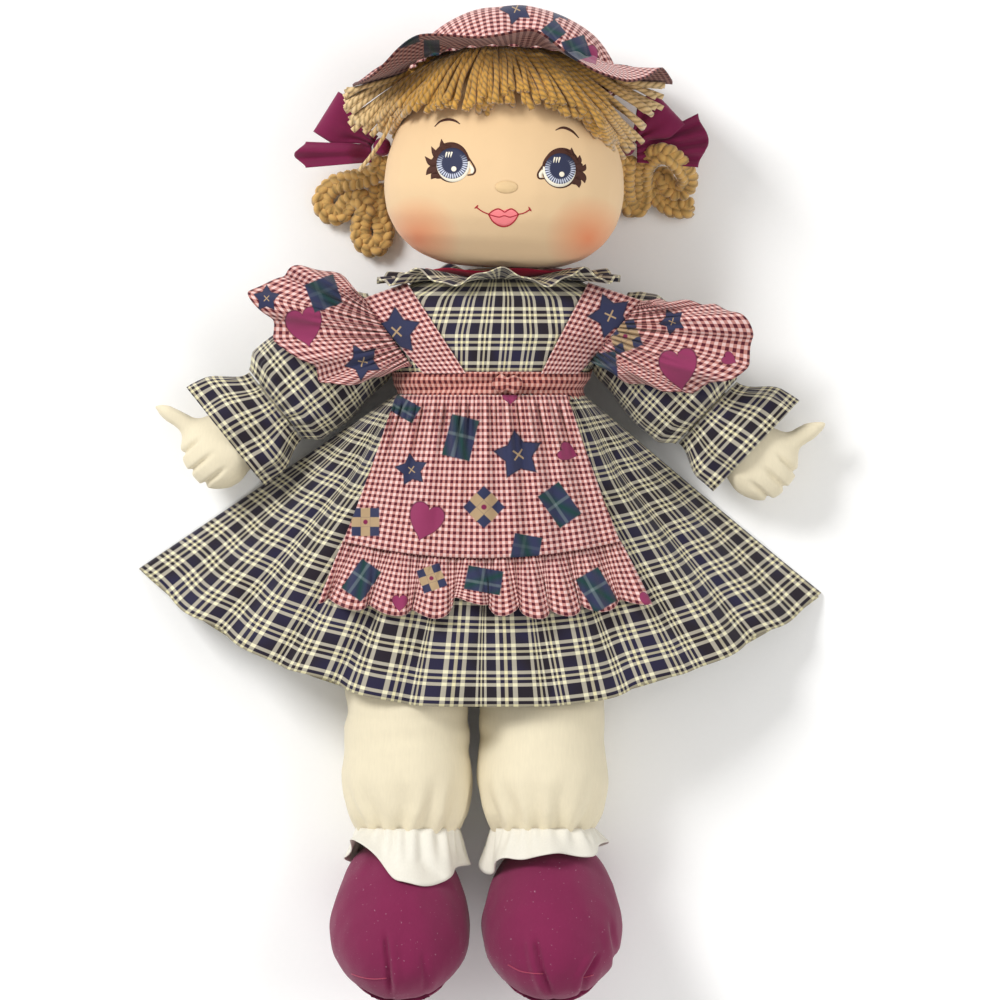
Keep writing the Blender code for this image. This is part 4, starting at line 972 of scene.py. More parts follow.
def skirt_envelope(side, length):
    """Height of the front panel before its folds, which lies over the thighs."""
    settled = ease(length / 0.060)
    middle = mix(BODY_AXIS + 0.0418, 0.098, settled)
    middle = mix(middle, 0.092, ease(length / SKIRT_LENGTH))
    edge = mix(BODY_AXIS + 0.0008, 0.0017, ease(length / 0.120))
    return mix(edge, middle, max(1 - side * side, 0) ** mix(0.5, 1, settled))


def skirt_side(across, along):
    """Where across falls between the sides; near the waist it follows the round of the body."""
    return mix(-cos(pi * across), 2 * across - 1, ease(along * 2))


def skirt_front_point(across, along):
    """Fine gathers at the waist that merge into fewer, deep folds."""
    side = skirt_side(across, along)
    length = SKIRT_LENGTH * along**1.4
    x, y = skirt_place(side, length)
    settled = ease(length / 0.060)
    sway = across + 0.012 * sin(9 * across + 4 * along)
    depth = 7.5 * MM * settled * (1 - side**4) * (0.75 + 0.35 * sin(5 * across + 1))
    y += 1.4 * MM * sin(40 * across + 3 * sin(6 * across)) * along**5
    x += 2.8 * MM * sin(TURN * FOLDS * sway) * settled * (1 - side**4)
    fold = depth * (1 - cos(TURN * FOLDS * sway)) / 2
    fine = 1.3 * MM * cos(TURN * 34 * across) * bump_at(length, 0.0, 0.045) * ease(length / 0.004)
    rumple = 1.2 * MM * ripple((x * 0.8, y * 1.4, 0), 0.022, 7) * settled
    bulge = 4.5 * MM * bump_at(abs(side), 0.62, 0.18) * settled * (1 - 0.4 * along)
    rumple += bulge * (0.6 + 0.4 * sin(12 * side))
    return Vector((x, y, skirt_envelope(side, length) - fold + (fine + rumple) * (1 - side**8)))


def skirt_back_point(across, along):
    side = skirt_side(across, along)
    length = SKIRT_LENGTH * along**1.4
    x, y = skirt_place(side * mix(1, 0.992, along), length)
    waist_foot = BODY_AXIS - 0.0008 - 0.0406 * math.sqrt(max(1 - side * side, 0))
    settle = ease(length / 0.030)
    foot = mix(waist_foot, 1.2 * MM, ease(length / (0.060 * mix(0.25, 2, side * side))))
    outside = ease((abs(side) - 1 / 3) * 2)
    fold = 3 * MM * (1 - cos(TURN * FOLDS * across)) / 2 * settle * outside
    return Vector((x, y, max(foot, 0.8 * MM) + fold * (1 - side**4)))


def skirt_uv(across, along):
    """The cloth is cut straight, so its lines fan out with the gathers."""
    return across * 0.430, along**1.4 * SKIRT_LENGTH


# Pinafore


APRON_LENGTH = 0.100


def apron_place(side, length):
    share = length / APRON_LENGTH
    half = mix(0.0525, 0.0850, share)
    return -0.0052 + side * half, -0.0372 - length + 0.010 * side * side * share * share


def surface_under(x, y):
    """Height of the skirt under a plan place, found by halving the range of side."""
    low, high = -1.0, 1.0
    drop = max(SKIRT_TOP - y, 0)
    for _ in range(20):
        side = (low + high) / 2
        if SKIRT_HALF * side + drop * math.tan(skirt_angle(side)) < x:
            low = side
        else:
            high = side
    return skirt_envelope(side, drop / cos(skirt_angle(side)))


def apron_point(across, along):
    side = 2 * across - 1
    x, y = apron_place(side, APRON_LENGTH * along)
    sway = across + 0.01 * sin(7 * across + 3 * along)
    fold = 6.4 * MM * ((1 + cos(TURN * 8 * sway)) / 2) ** 0.7 * mix(1, 0.5, along)
    fine = 1.9 * MM * cos(TURN * 25 * across + sin(9 * across)) * bump_at(along, 0.03, 0.5)
    crease = -2.2 * MM * bump_at(across, 0.385, 0.02) * ease(along * 9) * (1 - 0.5 * along)
    z = surface_under(x, y) + 4.2 * MM + fold * ease(along * 8) + fine * ease(along * 12) + crease
    return Vector((x, y, z + 0.5 * MM * ripple((x, y, 0), 0.012, 4)))


def apron_uv(across, along):
    return mix(0.5, across, 0.88 + 0.12 * along) * 0.19, along * 0.104


def ruffle_point(across, along):
    side = 2 * across - 1
    x, y = apron_place(side, APRON_LENGTH)
    x += (side * 13 * MM + side**9 * 5 * MM) * along
    turn = TURN * 9 * across + 1.4 * sin(8 * across + 1)
    tuck = 11 * MM * bump_at(across, 0.46, 0.12) + 6 * MM * bump_at(across, 0.60, 0.05)
    y += 1.2 * MM - 0.037 * along + (2.6 * MM * cos(turn + 2.6) + tuck) * along * along
    fold = 8.0 * MM * (1 + cos(turn)) / 2 * mix(0.15, 1, along) + 1.4 * MM * cos(4.1 * turn) * along
    x += 3.2 * MM * sin(turn) * along
    pinch = 1.1 * MM * cos(TURN * 38 * across) * bump_at(along, 0.12, 0.4)
    z = surface_under(x, y) + 2.2 * MM + fold + pinch + 3 * MM * bump_at(across, 0.46, 0.1) * along
    return Vector((x, y, z))


def add_print_map(piece):
    """A second map that holds each point's plan place, so motifs print where they were measured."""
    layer = piece.data.uv_layers.new(name="print")
    for loop in piece.data.loops:
        place = piece.data.vertices[loop.vertex_index].co
        layer.data[loop.index].uv = (place.x, place.y)


def motif(kind, across, down, half, degrees=0.0):
    """A printed motif at a place of the drawing grid, with its half size and its turn."""
    return (kind, *spot(across, down), half * GRID, degrees)


def print_of(*motifs):
    return tuple(motif(*values) for values in motifs)


APRON_PRINT = print_of(
    ("star", 412, 470, 16, 8), ("star", 518, 455, 24, 10), ("tartan", 461, 438, 14, -14),
    ("patch", 484, 507, 15, 45), ("patch", 366, 522, 14), ("heart", 425, 524, 23, -18),
    ("tartan", 559, 505, 13, 35), ("dark", 526, 549, 14, -10), ("heart", 510, 397, 12),
    ("heart", 569, 453, 12, 70), ("tartan", 405, 409, 9, 60),
)
RUFFLE_PRINT = print_of(
    ("tartan", 362, 580, 12, -35), ("tartan", 596, 590, 13, 30), ("tartan", 484, 580, 12, 80),
    ("patch", 432, 578, 12, 20), ("heart", 400, 604, 10), ("heart", 646, 600, 9),
)
STRAP_PRINT = print_of(("star", 397, 332, 24, 4), ("star", 610, 316, 22, 20))
FRILL_PRINT = print_of(
    ("heart", 306, 330, 24, 12), ("star", 363, 362, 18, 30), ("star", 267, 299, 13),
    ("dark", 324, 294, 15, 20), ("heart", 679, 372, 25, 8), ("patch", 625, 337, 14, 20),
    ("star", 672, 322, 13, 25), ("dark", 601, 369, 16, 5), ("heart", 730, 360, 9, 60),
)
HAT_PRINT = print_of(
    ("star", 516, 11, 16, 20), ("dark", 553, 34, 9, 40), ("heart", 590, 60, 13, 30),
    ("dark", 576, 52, 12, 20), ("star", 634, 56, 9), ("dark", 432, 50, 8), ("star", 560, 12, 12),
    ("dark", 400, 34, 16, 20),
)


# Places on the drawing grid; for a strap its inner edge's ends, then its outer edge's
STRAP_CORNERS = {
    -1: ((407, 283), (466, 374), (360, 300), (424, 374)),
    1: ((588, 283), (541, 374), (648, 303), (578, 374)),
}
FRILL_ROOTS = {-1: ((363, 299), (412, 366)), 1: ((640, 302), (590, 362))}
FRILL_EDGES = {
    -1: ((356, 290), (340, 276), (316, 269), (285, 272), (263, 283), (257, 301), (265, 321), (283, 342),
         (301, 361), (320, 378), (344, 384), (372, 379), (402, 368)),
    1: ((648, 300), (668, 301), (694, 303), (719, 306), (738, 316), (755, 338), (749, 361), (730, 378),
        (704, 389), (676, 391), (648, 388), (622, 378), (596, 364)),
}


def over_shoulder(tree, x, y, side):
    """Height of the cloth that crosses the shoulder and runs on past its edge."""
    middle = body_middle(y)
    reach = side * (x - middle)
    inside = min(reach, 0.060)
    top = top_of(tree, middle + side * inside, min(y, 0.0185), 0.078)
    return top - (reach - inside) * 0.42 - max(y - 0.0185, 0) * 0.9


def strap_point(side, tree):
    inner_top, inner_foot, outer_top, outer_foot = STRAP_CORNERS[side]

    def strap(across, along):
        inner = [mix(a, b, along) for a, b in zip(inner_top, inner_foot)]
        outer = [mix(a, b, along) for a, b in zip(outer_top, outer_foot)]
        x, y = spot(mix(inner[0], outer[0], across), mix(inner[1], outer[1], across))
        z = over_shoulder(tree, x, y, side) + 2.2 * MM + 0.5 * MM * ripple((x, y, 0), 0.012, side)
        return Vector((x, y, z + 1.4 * MM * ease((along - 0.85) / 0.15)))

    return strap


def make_shoulder_frill(side, word, material, tree):
    edge = smooth_route([Vector((*point, 0)) for point in FRILL_EDGES[side]], 12)
    (top_x, top_y), (foot_x, foot_y) = FRILL_ROOTS[side]

    def frill(across, along):
        at = across * (len(edge) - 1)
        low = min(int(at), len(edge) - 2)
        rim = edge[low].lerp(edge[low + 1], at - low)
        turn = TURN * 5 * across + side
        share = along**0.85 * (1 + 0.05 * cos(turn + 1) * along)
        down = mix(top_x, foot_x, across), mix(top_y, foot_y, across)
        x, y = spot(mix(down[0], rim.x, share), mix(down[1], rim.y, share))
        root_z = over_shoulder(tree, *spot(*down), side) + 3.4 * MM
        wave = 6.5 * MM * cos(turn + 1.3 * sin(7 * across)) * along * sin(pi * across) ** 0.5
        pleat = 2.0 * MM * cos(TURN * 17 * across + side) * bump_at(along, 0.12, 0.62)
        fall = mix(root_z, 0.072, ease(1.6 * along)) + 4 * MM * sin(pi * along) - 6 * MM * along * along
        z = fall + wave + pleat + 1.0 * MM * ripple((x, y, 0), 0.014, side)
        return Vector((x + 1.9 * MM * sin(turn) * along, y - 0.9 * MM * sin(2 * turn) * along, z))

    piece = tailored("shoulder_frill_cloth_" + word, 150, 36, frill, material,
                     uv=cut_cloth(0.17, 0.062, 0.0, 0.002))
    add_print_map(piece)
    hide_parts("shoulder_frill_" + word)
    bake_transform(piece)


# Operators, one for each piece or group of like pieces

# Mesh size of a stuffed piece as a share of the usual one
FINENESS = {"arm": 0.6, "shoe": 0.6, "neck": 0.6, "sole": 0.4, "head": 0.8}


class DOLL_OT_stuffed_parts(bpy.types.Operator):
    """Makes the stuffed muslin body, the head, the arms, the legs and the shoes"""

    bl_idname = "doll.stuffed_parts"
    bl_label = "Stuffed parts"

    def execute(self, context):
        tint, size = colours(), sizes()
        muslin = plain_cotton("limb_muslin", "muslin", tint.muslin, 0.06)
        burgundy = plain_cotton("shoe_cotton", "burgundy_cotton", tint.burgundy, 0.12, 0.72)
        skin = face_cloth()
        plan = [
            ("body_form", "torso", "torso", muslin, None, None, 0.7),
            ("neck_form", "neck", "neck", skin, None, None, 0.8),
            ("head_form", "head", "head", skin, head_relief, None, 0.95),
        ]
        for side, word in SIDES:
            nodes = [part + "_" + word for part in ("arm", "leg", "shoe", "sole", "foot")]
            arm, leg, shoe, sole, foot = nodes
            plan += [
                ("arm_form_" + word, arm, arm, muslin, arm_relief(side), None, 0.85),
                ("leg_form_" + word, leg, leg, muslin, leg_relief(side), None, 0.85),
                ("shoe_form_" + word, shoe, foot, burgundy, shoe_relief(side), shoe_form(side), 0.9),
                ("sole_form_" + word, sole, foot, burgundy, None, shoe_form(side, 1.2 * MM), 0.7),
            ]
        shells = []
        for name, node, *_ in plan:
            voxel = size.voxel * FINENESS.get(name.split("_")[0], 1)
            shells.append(stuffed_copy(name, node, voxel, size.swell / 4))
        stuff(shells, size.swell / 2)
        for piece, (_, node, body, material, relief, form, fill) in zip(shells, plan):
            finish_stuffed(piece, material, node, body, relief, form, fill)
        thread = thread_finish("seam_thread", srgb(176, 66, 96))
        for side, word in SIDES:
            shoe = tree_of(bpy.data.objects["shoe_form_" + word])
            bm = bmesh.new()
            for run in TOE_SEAMS[side]:
                route = smooth_route([Vector((*spot(*point), 0)) for point in run], 8)
                for place in route:
                    place.z = top_of(shoe, place.x, place.y, 0.03) + 0.1 * MM
                tube(bm, route, 0.42 * MM, 6)
            close_ends(bm)
            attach(put("toe_seam_" + word, bm, thread), "foot_" + word)
        return {"FINISHED"}


LIPS = 216.9
# line width, then the places between the two corners of the mouth
LIP_RUNS = (
    (1.1, (494, 213.6), (499.4, 211.4), (503.4, 212.8), (506.2, 214.6), (509.2, 212.8), (513, 211.4),
     (517, 213.6)),
    (1.2, (494, 223.4), (499.6, 227.6), (505.4, 229), (511.4, 227.4), (516.4, 223)),
    (0.9, (496, 218.6), (501, 219.6), (506, 218.2), (511, 219.6), (516, 218.4)),
)
MOUTH_CORNERS = (
    (((477.0, 209.6), (482.4, 213.4), (488.8, 216.2)), (1.3, 1.1, 1.1)),
    (((518.2, 216.3), (523.8, 215.0), (529.4, 211.8)), (1.1, 1.1, 1.3)),
    (((474.8, 210.4), (476.6, 209.0), (478.2, 207.2)), (0.8, 1.7, 0.8)),
    (((528.4, 208.8), (529.8, 211.2), (531.2, 213.2)), (0.8, 1.7, 0.8)),
)


class DOLL_OT_face(bpy.types.Operator):
    """Prints the eyes, the brows and the mouth on the face and stitches the nose"""

    bl_idname = "doll.face"
    bl_label = "Face"

    def execute(self, context):
        tint = colours()
        head = bpy.data.objects["head_form"]
        tree = tree_of(head)
        ink = ink_finish("eye_ink", tint.ink)
        white = ink_finish("eye_white", srgb(240, 232, 212), 0.04)
        line = ink_finish("lip_line", tint.lip_line)
        pink = ink_finish("lip_pink", tint.lips, 0.08)

        def on_face(across, down, lift):
            x, y = spot(across, down)
            return Vector((x, y, top_of(tree, x, y, 0.12) + lift))

        def disc(bm, centre, radii, lift, start=0.0, turn=TURN, steps=36, rings=5):
            """A round patch, or a slice of one; lift may change with the share of the radius."""
            made = bmesh.ops.create_grid(bm, x_segments=steps, y_segments=rings, size=0.5)["verts"]
            for vert in made:
                angle, reach = start + turn * (vert.co.x + 0.5), vert.co.y + 0.5
                across = centre[0] + radii[0] * reach * cos(angle)
                down = centre[1] - radii[1] * reach * sin(angle)
                vert.co = on_face(across, down, lift(reach) if callable(lift) else lift)
            bmesh.ops.remove_doubles(bm, verts=made, dist=0.002 * MM)

        def stroke(bm, points, widths, lift, steps=7):
            """A brush stroke through drawing points, with a width at each."""
            route = smooth_route([Vector((*point, width)) for point, width in zip(points, widths)], steps)
            made = bmesh.ops.create_grid(bm, x_segments=2, y_segments=len(route) - 1, size=0.5)["verts"]
            for vert in made:
                at = round((vert.co.y + 0.5) * (len(route) - 1))
                way = heading(route, at)
                way.z = 0
                way.normalize()
                offset = vert.co.x * max(route[at].z, 0.05)
                vert.co = on_face(route[at].x - way.y * offset, route[at].y + way.x * offset, lift)

        def inked(name, material, draw, nodes=()):
            bm = bmesh.new()
            draw(bm)
            bmesh.ops.recalc_face_normals(bm, faces=bm.faces)
            if sum(face.normal.z for face in bm.faces) < 0:
                bmesh.ops.reverse_faces(bm, faces=bm.faces)
            piece = put(name, bm, material)
            add_thickness(piece, 0.12 * MM, -1)
            if nodes:
                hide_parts(*nodes)
            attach(piece, "head")

        # side, middle and radius of the iris; radii and middle of the ink; corner; lashes; brow
        eyes = (
            ("left", -1, (452.5, 165.4), 16.2, (18.0, 19.7), (451.9, 164.9),
             ((467.6, 158.0), (475.0, 170.6), (473.6, 176.0), (467.6, 177.4)),
             (((450, 152.6), (443.4, 149.2), (441.6, 141)), ((444.6, 156.6), (436.4, 156.2), (431.6, 148.4)),
              ((439.6, 162.2), (431.4, 164.4), (425.3, 158.3)),
              ((437.4, 170.6), (430.6, 172.4), (426.4, 176.8)),
              ((439.4, 175.4), (434.4, 177.4), (431.4, 181))),
             ((434.9, 128.6), (440.6, 123.4), (448.4, 121.5), (455.4, 123.0), (460.2, 126.2))),
            ("right", 1, (559.9, 170.7), 16.0, (18.2, 19.1), (559.7, 171.2),
             ((545.6, 163.6), (538.0, 175.0), (538.8, 180.4), (544.6, 180.6)),
             (((564.4, 156.6), (570.6, 156.4), (571.2, 149.6)), ((569.4, 160.8), (577.8, 163), (579.4, 157)),
              ((573.8, 166.6), (582.4, 170), (585.2, 166)), ((575.8, 175.6), (582.6, 179.4), (584.4, 184.8)),
              ((573.6, 180.8), (577.6, 184.6), (578.8, 189.6))),
             ((555.2, 132.4), (560.4, 130.0), (565.8, 130.2), (572.6, 133.8), (578.4, 139.8))),
        )
        for word, side, centre, iris, outline, ring, corner, lashes, brow in eyes:
            def draw_ink(bm):
                disc(bm, ring, outline, 0.10 * MM)
                lid = (centre[0] + side * 1.5, centre[1] - 3.0)
                disc(bm, lid, (iris * 1.10, iris * 1.12), 0.12 * MM, 0.15, pi - 0.3)
                for lash in lashes:
                    stroke(bm, lash, (11.0, 7.2, 0.4), 0.12 * MM)
                stroke(bm, corner, (1.4, 1.8, 1.7, 1.3), 0.13 * MM)
                stroke(bm, brow, (0.8, 2.0, 2.7, 2.2, 0.8), 0.12 * MM)

            inked("eye_ink_" + word, ink, draw_ink)

            def draw_white(bm):
                lower = (centre[0] - side * 1.0, centre[1] + 1.2)
                disc(bm, lower, (iris + 0.3, iris + 1.2), 0.24 * MM, pi * 0.94, pi * 1.12)
                stroke(bm, (
                    (corner[0][0] + side * 0.4, corner[0][1] + 6.0),
                    (corner[1][0] + side * 2.6, corner[1][1] + 0.6),
                    (corner[2][0] + side * 2.0, corner[2][1] - 0.6),
                ), (0.8, 3.4, 2.6), 0.16 * MM)

            inked("eye_white_" + word, white, draw_white)

            def draw_iris(bm):
                disc(bm, centre, (iris - 0.7, iris - 0.7), 0.34 * MM, steps=44)

            blue = iris_finish("eye_iris_" + word, spot(*centre))
            inked("eye_iris_" + word, blue, draw_iris, ["eye_" + word])

            def draw_light(bm):
                disc(bm, (centre[0] + 1.6, centre[1] + 5.6), (2.6, 2.6), 0.46 * MM, steps=16)
                for count in range(3):
                    x, y = centre[0] - 6.6 + 2.5 * count, centre[1]
                    glint = ((x + 1.4, y - 11.4), (x + 0.5, y - 8.6), (x, y - 5.8))
                    stroke(bm, glint, (1.7, 1.4, 0.4), 0.46 * MM)

            inked("eye_light_" + word, white, draw_light)

        def lip_fill(bm):
            made = bmesh.ops.create_grid(bm, x_segments=20, y_segments=6, size=0.5)["verts"]
            for vert in made:
                s, t = vert.co.x * 2, vert.co.y + 0.5
                top = LIPS - 5.8 * (1 - s * s) ** 0.6 * (1 - 0.28 * bump_at(s, 0, 0.34))
                foot = LIPS + 11.9 * max(1 - s * s, 0) ** 0.72
                vert.co = on_face(503.6 + s * 14.8, mix(top, foot, t) - 0.6, 0.10 * MM)

        inked("lip_print", pink, lip_fill, ["mouth"])

        def lip_lines(bm):
            for wide, *run in LIP_RUNS:
                moved = [(x - 1.6, y - 0.6) for x, y in ((490.2, LIPS), *run, (520, LIPS))]
                stroke(bm, moved, (wide,) * len(moved), 0.22 * MM, 4)
            for points, widths in MOUTH_CORNERS:
                stroke(bm, points, widths, 0.2 * MM)

        inked("lip_lines", line, lip_lines)

        satin = thread_finish("nose_thread", srgb(240, 206, 156))

        def nose(bm):
            def domed(reach):
                return (0.15 + 1.1 * (1 - reach**3)) * MM

            disc(bm, (506.4, 189.2), (11.6, 6.4), domed, steps=44, rings=8)

        inked("nose_stitches", satin, nose, ["nose"])
        return {"FINISHED"}


# Where the fringe ends, from one side of the face (-1) to the other
TIPS = (
    (-1.0, 350, 94), (-0.9, 348, 110), (-0.8, 356, 126), (-0.7, 372, 134), (-0.6, 394, 126),
    (-0.5, 412, 117), (-0.35, 438, 116), (-0.2, 466, 116), (-0.08, 488, 115), (0.0, 506, 102),
    (0.1, 522, 103), (0.2, 542, 115), (0.35, 570, 117), (0.5, 592, 127), (0.6, 606, 146), (0.7, 620, 163),
    (0.8, 636, 146), (0.9, 652, 116), (1.0, 668, 90),
)


def tip_at(s):
    """Where a strand of the fringe ends on the drawing grid."""
    for (a, xa, ya), (b, xb, yb) in zip(TIPS, TIPS[1:]):
        if s <= b:
            share = (s - a) / (b - a)
            return mix(xa, xb, share), mix(ya, yb, share)
    return TIPS[-1][1:]


HAT_PLACE = (
    Matrix.Translation((0.014, 0.157, 0.067))
    @ Matrix.Rotation(radians(-2), 4, "Z")
    @ Matrix.Rotation(radians(-110), 4, "X")
)
BRIM_WIDTH = 0.032
CROWN_HALF = 0.0662, 0.0592


def brim_root(angle):
    """Place on the crown's edge, and the way out from it, in the hat's own frame."""
    outward = Vector((sin(angle), -cos(angle), 0))
    return Vector((outward.x * CROWN_HALF[0], outward.y * CROWN_HALF[1], 0)), outward


def brim_place(across, along):
    """The brim in the hat's own frame: it folds up behind and dips in two places."""
    angle = TURN * across
    back = ease((1 - cos(angle)) / 2)
    turn = radians(mix(-8, 92, back**3))
    wave = 3 * MM * sin(7 * angle) * (1 - back) * along
    for depth, centre, spread in ((17, 38, 32), (12, 282, 42)):
        off = (angle - radians(centre)) / radians(spread)
        wave -= depth * MM * ease(1 - off * off) * along
    gather = 0.9 * MM * cos(30 * angle) * bump_at(along, 0, 0.6)
    root, outward = brim_root(angle)
    reach = BRIM_WIDTH * along
    rumple = 1.0 * MM * ripple(root + outward * reach, 0.016, 3)
    return root + outward * (cos(turn) * reach) + FRONT * (sin(turn) * reach + wave + gather + rumple)


def under_brim(point):
    """Keeps a strand on the face's side of the brim."""
    local = HAT_PLACE.inverted() @ point
    angle = math.atan2(local.x / CROWN_HALF[0], -local.y / CROWN_HALF[1]) % TURN
    root, outward = brim_root(angle)
    along = (Vector((local.x, local.y, 0)) - root).dot(outward) / BRIM_WIDTH
    ceiling = brim_place(angle / TURN, min(max(along, 0), 1)).z - 3.0 * MM + max(-along, 0) * 0.05
    local.z = min(local.z, ceiling)
    return HAT_PLACE @ local


class DOLL_OT_hair(bpy.types.Operator):
    """Sews on the yarn fringe and the yarn that covers the back of the head"""

    bl_idname = "doll.hair"
    bl_label = "Hair"

    def execute(self, context):
        yarn = yarn_finish("hair_yarn", True)
        rng = random.Random(7)
        front = tree_of("hair_fringe", "head")
        bm = bmesh.new()
        thick = sizes().yarn / 2
        for row, (count, lift, short) in enumerate(((62, 0.4, 0.0), (54, 2.8, 5.0), (36, 4.8, 11.0))):
            clump_x = clump_y = 0.0
            for number in range(count):
                if number % 4 == 0:
                    clump_x, clump_y = rng.uniform(-6, 6), rng.uniform(-5, 5)
                s = 2 * (number + rng.uniform(0.2, 0.8)) / count - 1
                tip_x, tip_y = tip_at(s)
                tip_x += clump_x + rng.uniform(-3, 3)
                tip_y += clump_y + rng.uniform(-4, 3) - short
                root = (498 + 24 * s, 38 - 4 * row + 5 * abs(s))
                bend = (mix(root[0], tip_x, 0.58), mix(root[1], tip_y, 0.30 + 0.28 * abs(s) ** 3))
                phase, sway = rng.uniform(0, 6), rng.uniform(0.8, 2.2)
                points = []
                for at in range(17):
                    t = at / 16
                    ways = zip(root, bend, (tip_x, tip_y))
                    x, y = ((1 - t) ** 2 * a + 2 * t * (1 - t) * b + t * t * c for a, b, c in ways)
                    x += sway * sin(7 * t + phase) * ease(t * 1.5)
                    px, py = spot(x, y)
                    z = top_of(front, px, py)
                    if z is None or z < 0.066:
                        z = 0.068
                    lifted = (lift + 0.8 * sin(5 * t + phase)) * MM * ease(t * 2 + 0.3)
                    points.append(Vector((px, py, z + lifted)))
                for _ in range(2):
                    for at in range(1, 16):
                        points[at].z = (points[at - 1].z + points[at].z * 2 + points[at + 1].z) / 4
                points = [under_brim(point) for point in points]
                thin = rng.uniform(0.88, 1.1) * thick
                tube(bm, points, lambda t: thin * (1 + 0.25 * bump_at(t, 0.97, 0.1)), 8)
        loose = [Vector((*spot(x, y), z)) for x, y, z in (
            (392, 118, 0.086), (388, 130, 0.081), (380, 144, 0.076), (370, 158, 0.070), (359, 171, 0.066))]
        tube(bm, smooth_route(loose, 4), thick * 0.75, 8)
        close_ends(bm)
        fringe = put("hair_fringe_strands", bm, yarn)
        seat(fringe, "hair_fringe", "head")

        back = tree_of("hair_back")
        low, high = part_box("hair_back")
        middle = (low + high) / 2
        bm = bmesh.new()
        for number in range(96):
            turn = radians(mix(-196, 16, number / 95))
            way = Vector((cos(turn), 0, sin(turn)))
            points = []
            for at in range(16):
                start = Vector((middle.x, mix(high.y - 0.002, low.y + 0.002, at / 15), 0.0704))
                hit = back.ray_cast(start + way * 0.12, -way)[0]
                if hit and (hit - start).dot(way) > 0.02:
                    place = hit - way * 1.2 * MM
                    place.z = max(place.z, 1.0 * MM)
                    points.append(place)
            if len(points) > 3:
                tube(bm, points, thick * 1.15, 7)
        close_ends(bm)
        cap = put("hair_back_strands", bm, yarn)
        seat(cap, "hair_back", "head")
        # Painted shade: a backing in the yarn colour, darkened to 0.6, shows between the strands.
        lining = stuffed_copy("hair_backing", "hair_back", 2.6 * MM, 1.2 * MM)
        lining.data.materials.append(plain_cotton("hair_painted_shade", "yarn", dimmed(colours().yarn, 0.6)))
        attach(lining, "head")
        return {"FINISHED"}


# Millimetres from the bow's knot
CHAINS = {
    -1: ((-1, -7, -8), (-3, -15, -14), (-12, -19, -19), (-23, -21, -25), (-31, -24, -29), (-37, -32, -31),
         (-34, -40, -31), (-26, -41, -31), (-21, -34, -28), (-15, -31, -25), (-10, -37, -26),
         (-13, -46, -30), (-13, -56, -31), (-8, -61, -31), (-2, -60, -31), (1, -52, -31), (-2, -43, -30),
         (-3, -33, -28), (-2, -24, -24)),
    1: ((0, -7, -4), (-1, -19, -14), (0, -31, -26), (5, -38, -31), (10, -32, -30), (10, -22, -22),
        (11, -12, -10), (18, -5, 0), (26, -5, 3), (33, -11, -2), (38, -19, -12), (35, -26, -22),
        (27, -25, -24), (22, -18, -22), (18, -25, -27), (22, -32, -31), (30, -37, -31), (40, -37, -31)),
}
KNOTS = {-1: Vector((-0.0664, 0.116, 0.038)), 1: Vector((0.0839, 0.116, 0.038))}


class DOLL_OT_pigtails(bpy.types.Operator):
    """Crochets the looped yarn chains of the two pigtails"""

    bl_idname = "doll.pigtails"
    bl_label = "Pigtails"

    def execute(self, context):
        yarn = yarn_finish("chain_yarn", False)
        for side, word in SIDES:
            route = smooth_route([KNOTS[side] + Vector(point) * MM for point in CHAINS[side]], 14)
            bm = bmesh.new()
            walked = walk(route)
            for strand in range(3):
                points = []
                for at, place in enumerate(route):
                    way = heading(route, at).normalized()
                    broad = way.cross(FRONT).normalized()
                    high = broad.cross(way)
                    turn = TURN * (walked[at] / (14 * MM) + strand / 3)
                    points.append(place + broad * (3.9 * MM * sin(turn)) + high * (2.1 * MM * sin(2 * turn)))
                tube(bm, points, 3.0 * MM, 10)
            close_ends(bm)
            for vert in bm.verts:
                vert.co.z = max(vert.co.z, 0.4 * MM)
            piece = put("pigtail_chain_" + word, bm, yarn)
            seat(piece, "pigtail_" + word, "pigtail_" + word)
        return {"FINISHED"}


# turn and length of the loop; rise, end width, reach, lift and waves of the tail
BOWS = {
    -1: (radians(32), 0.035, -0.001, 0.016, 0.044, 9.5 * MM, 3),
    1: (radians(43), 0.030, 0.008, 0.033, 0.041, -1.0 * MM, 6),
}


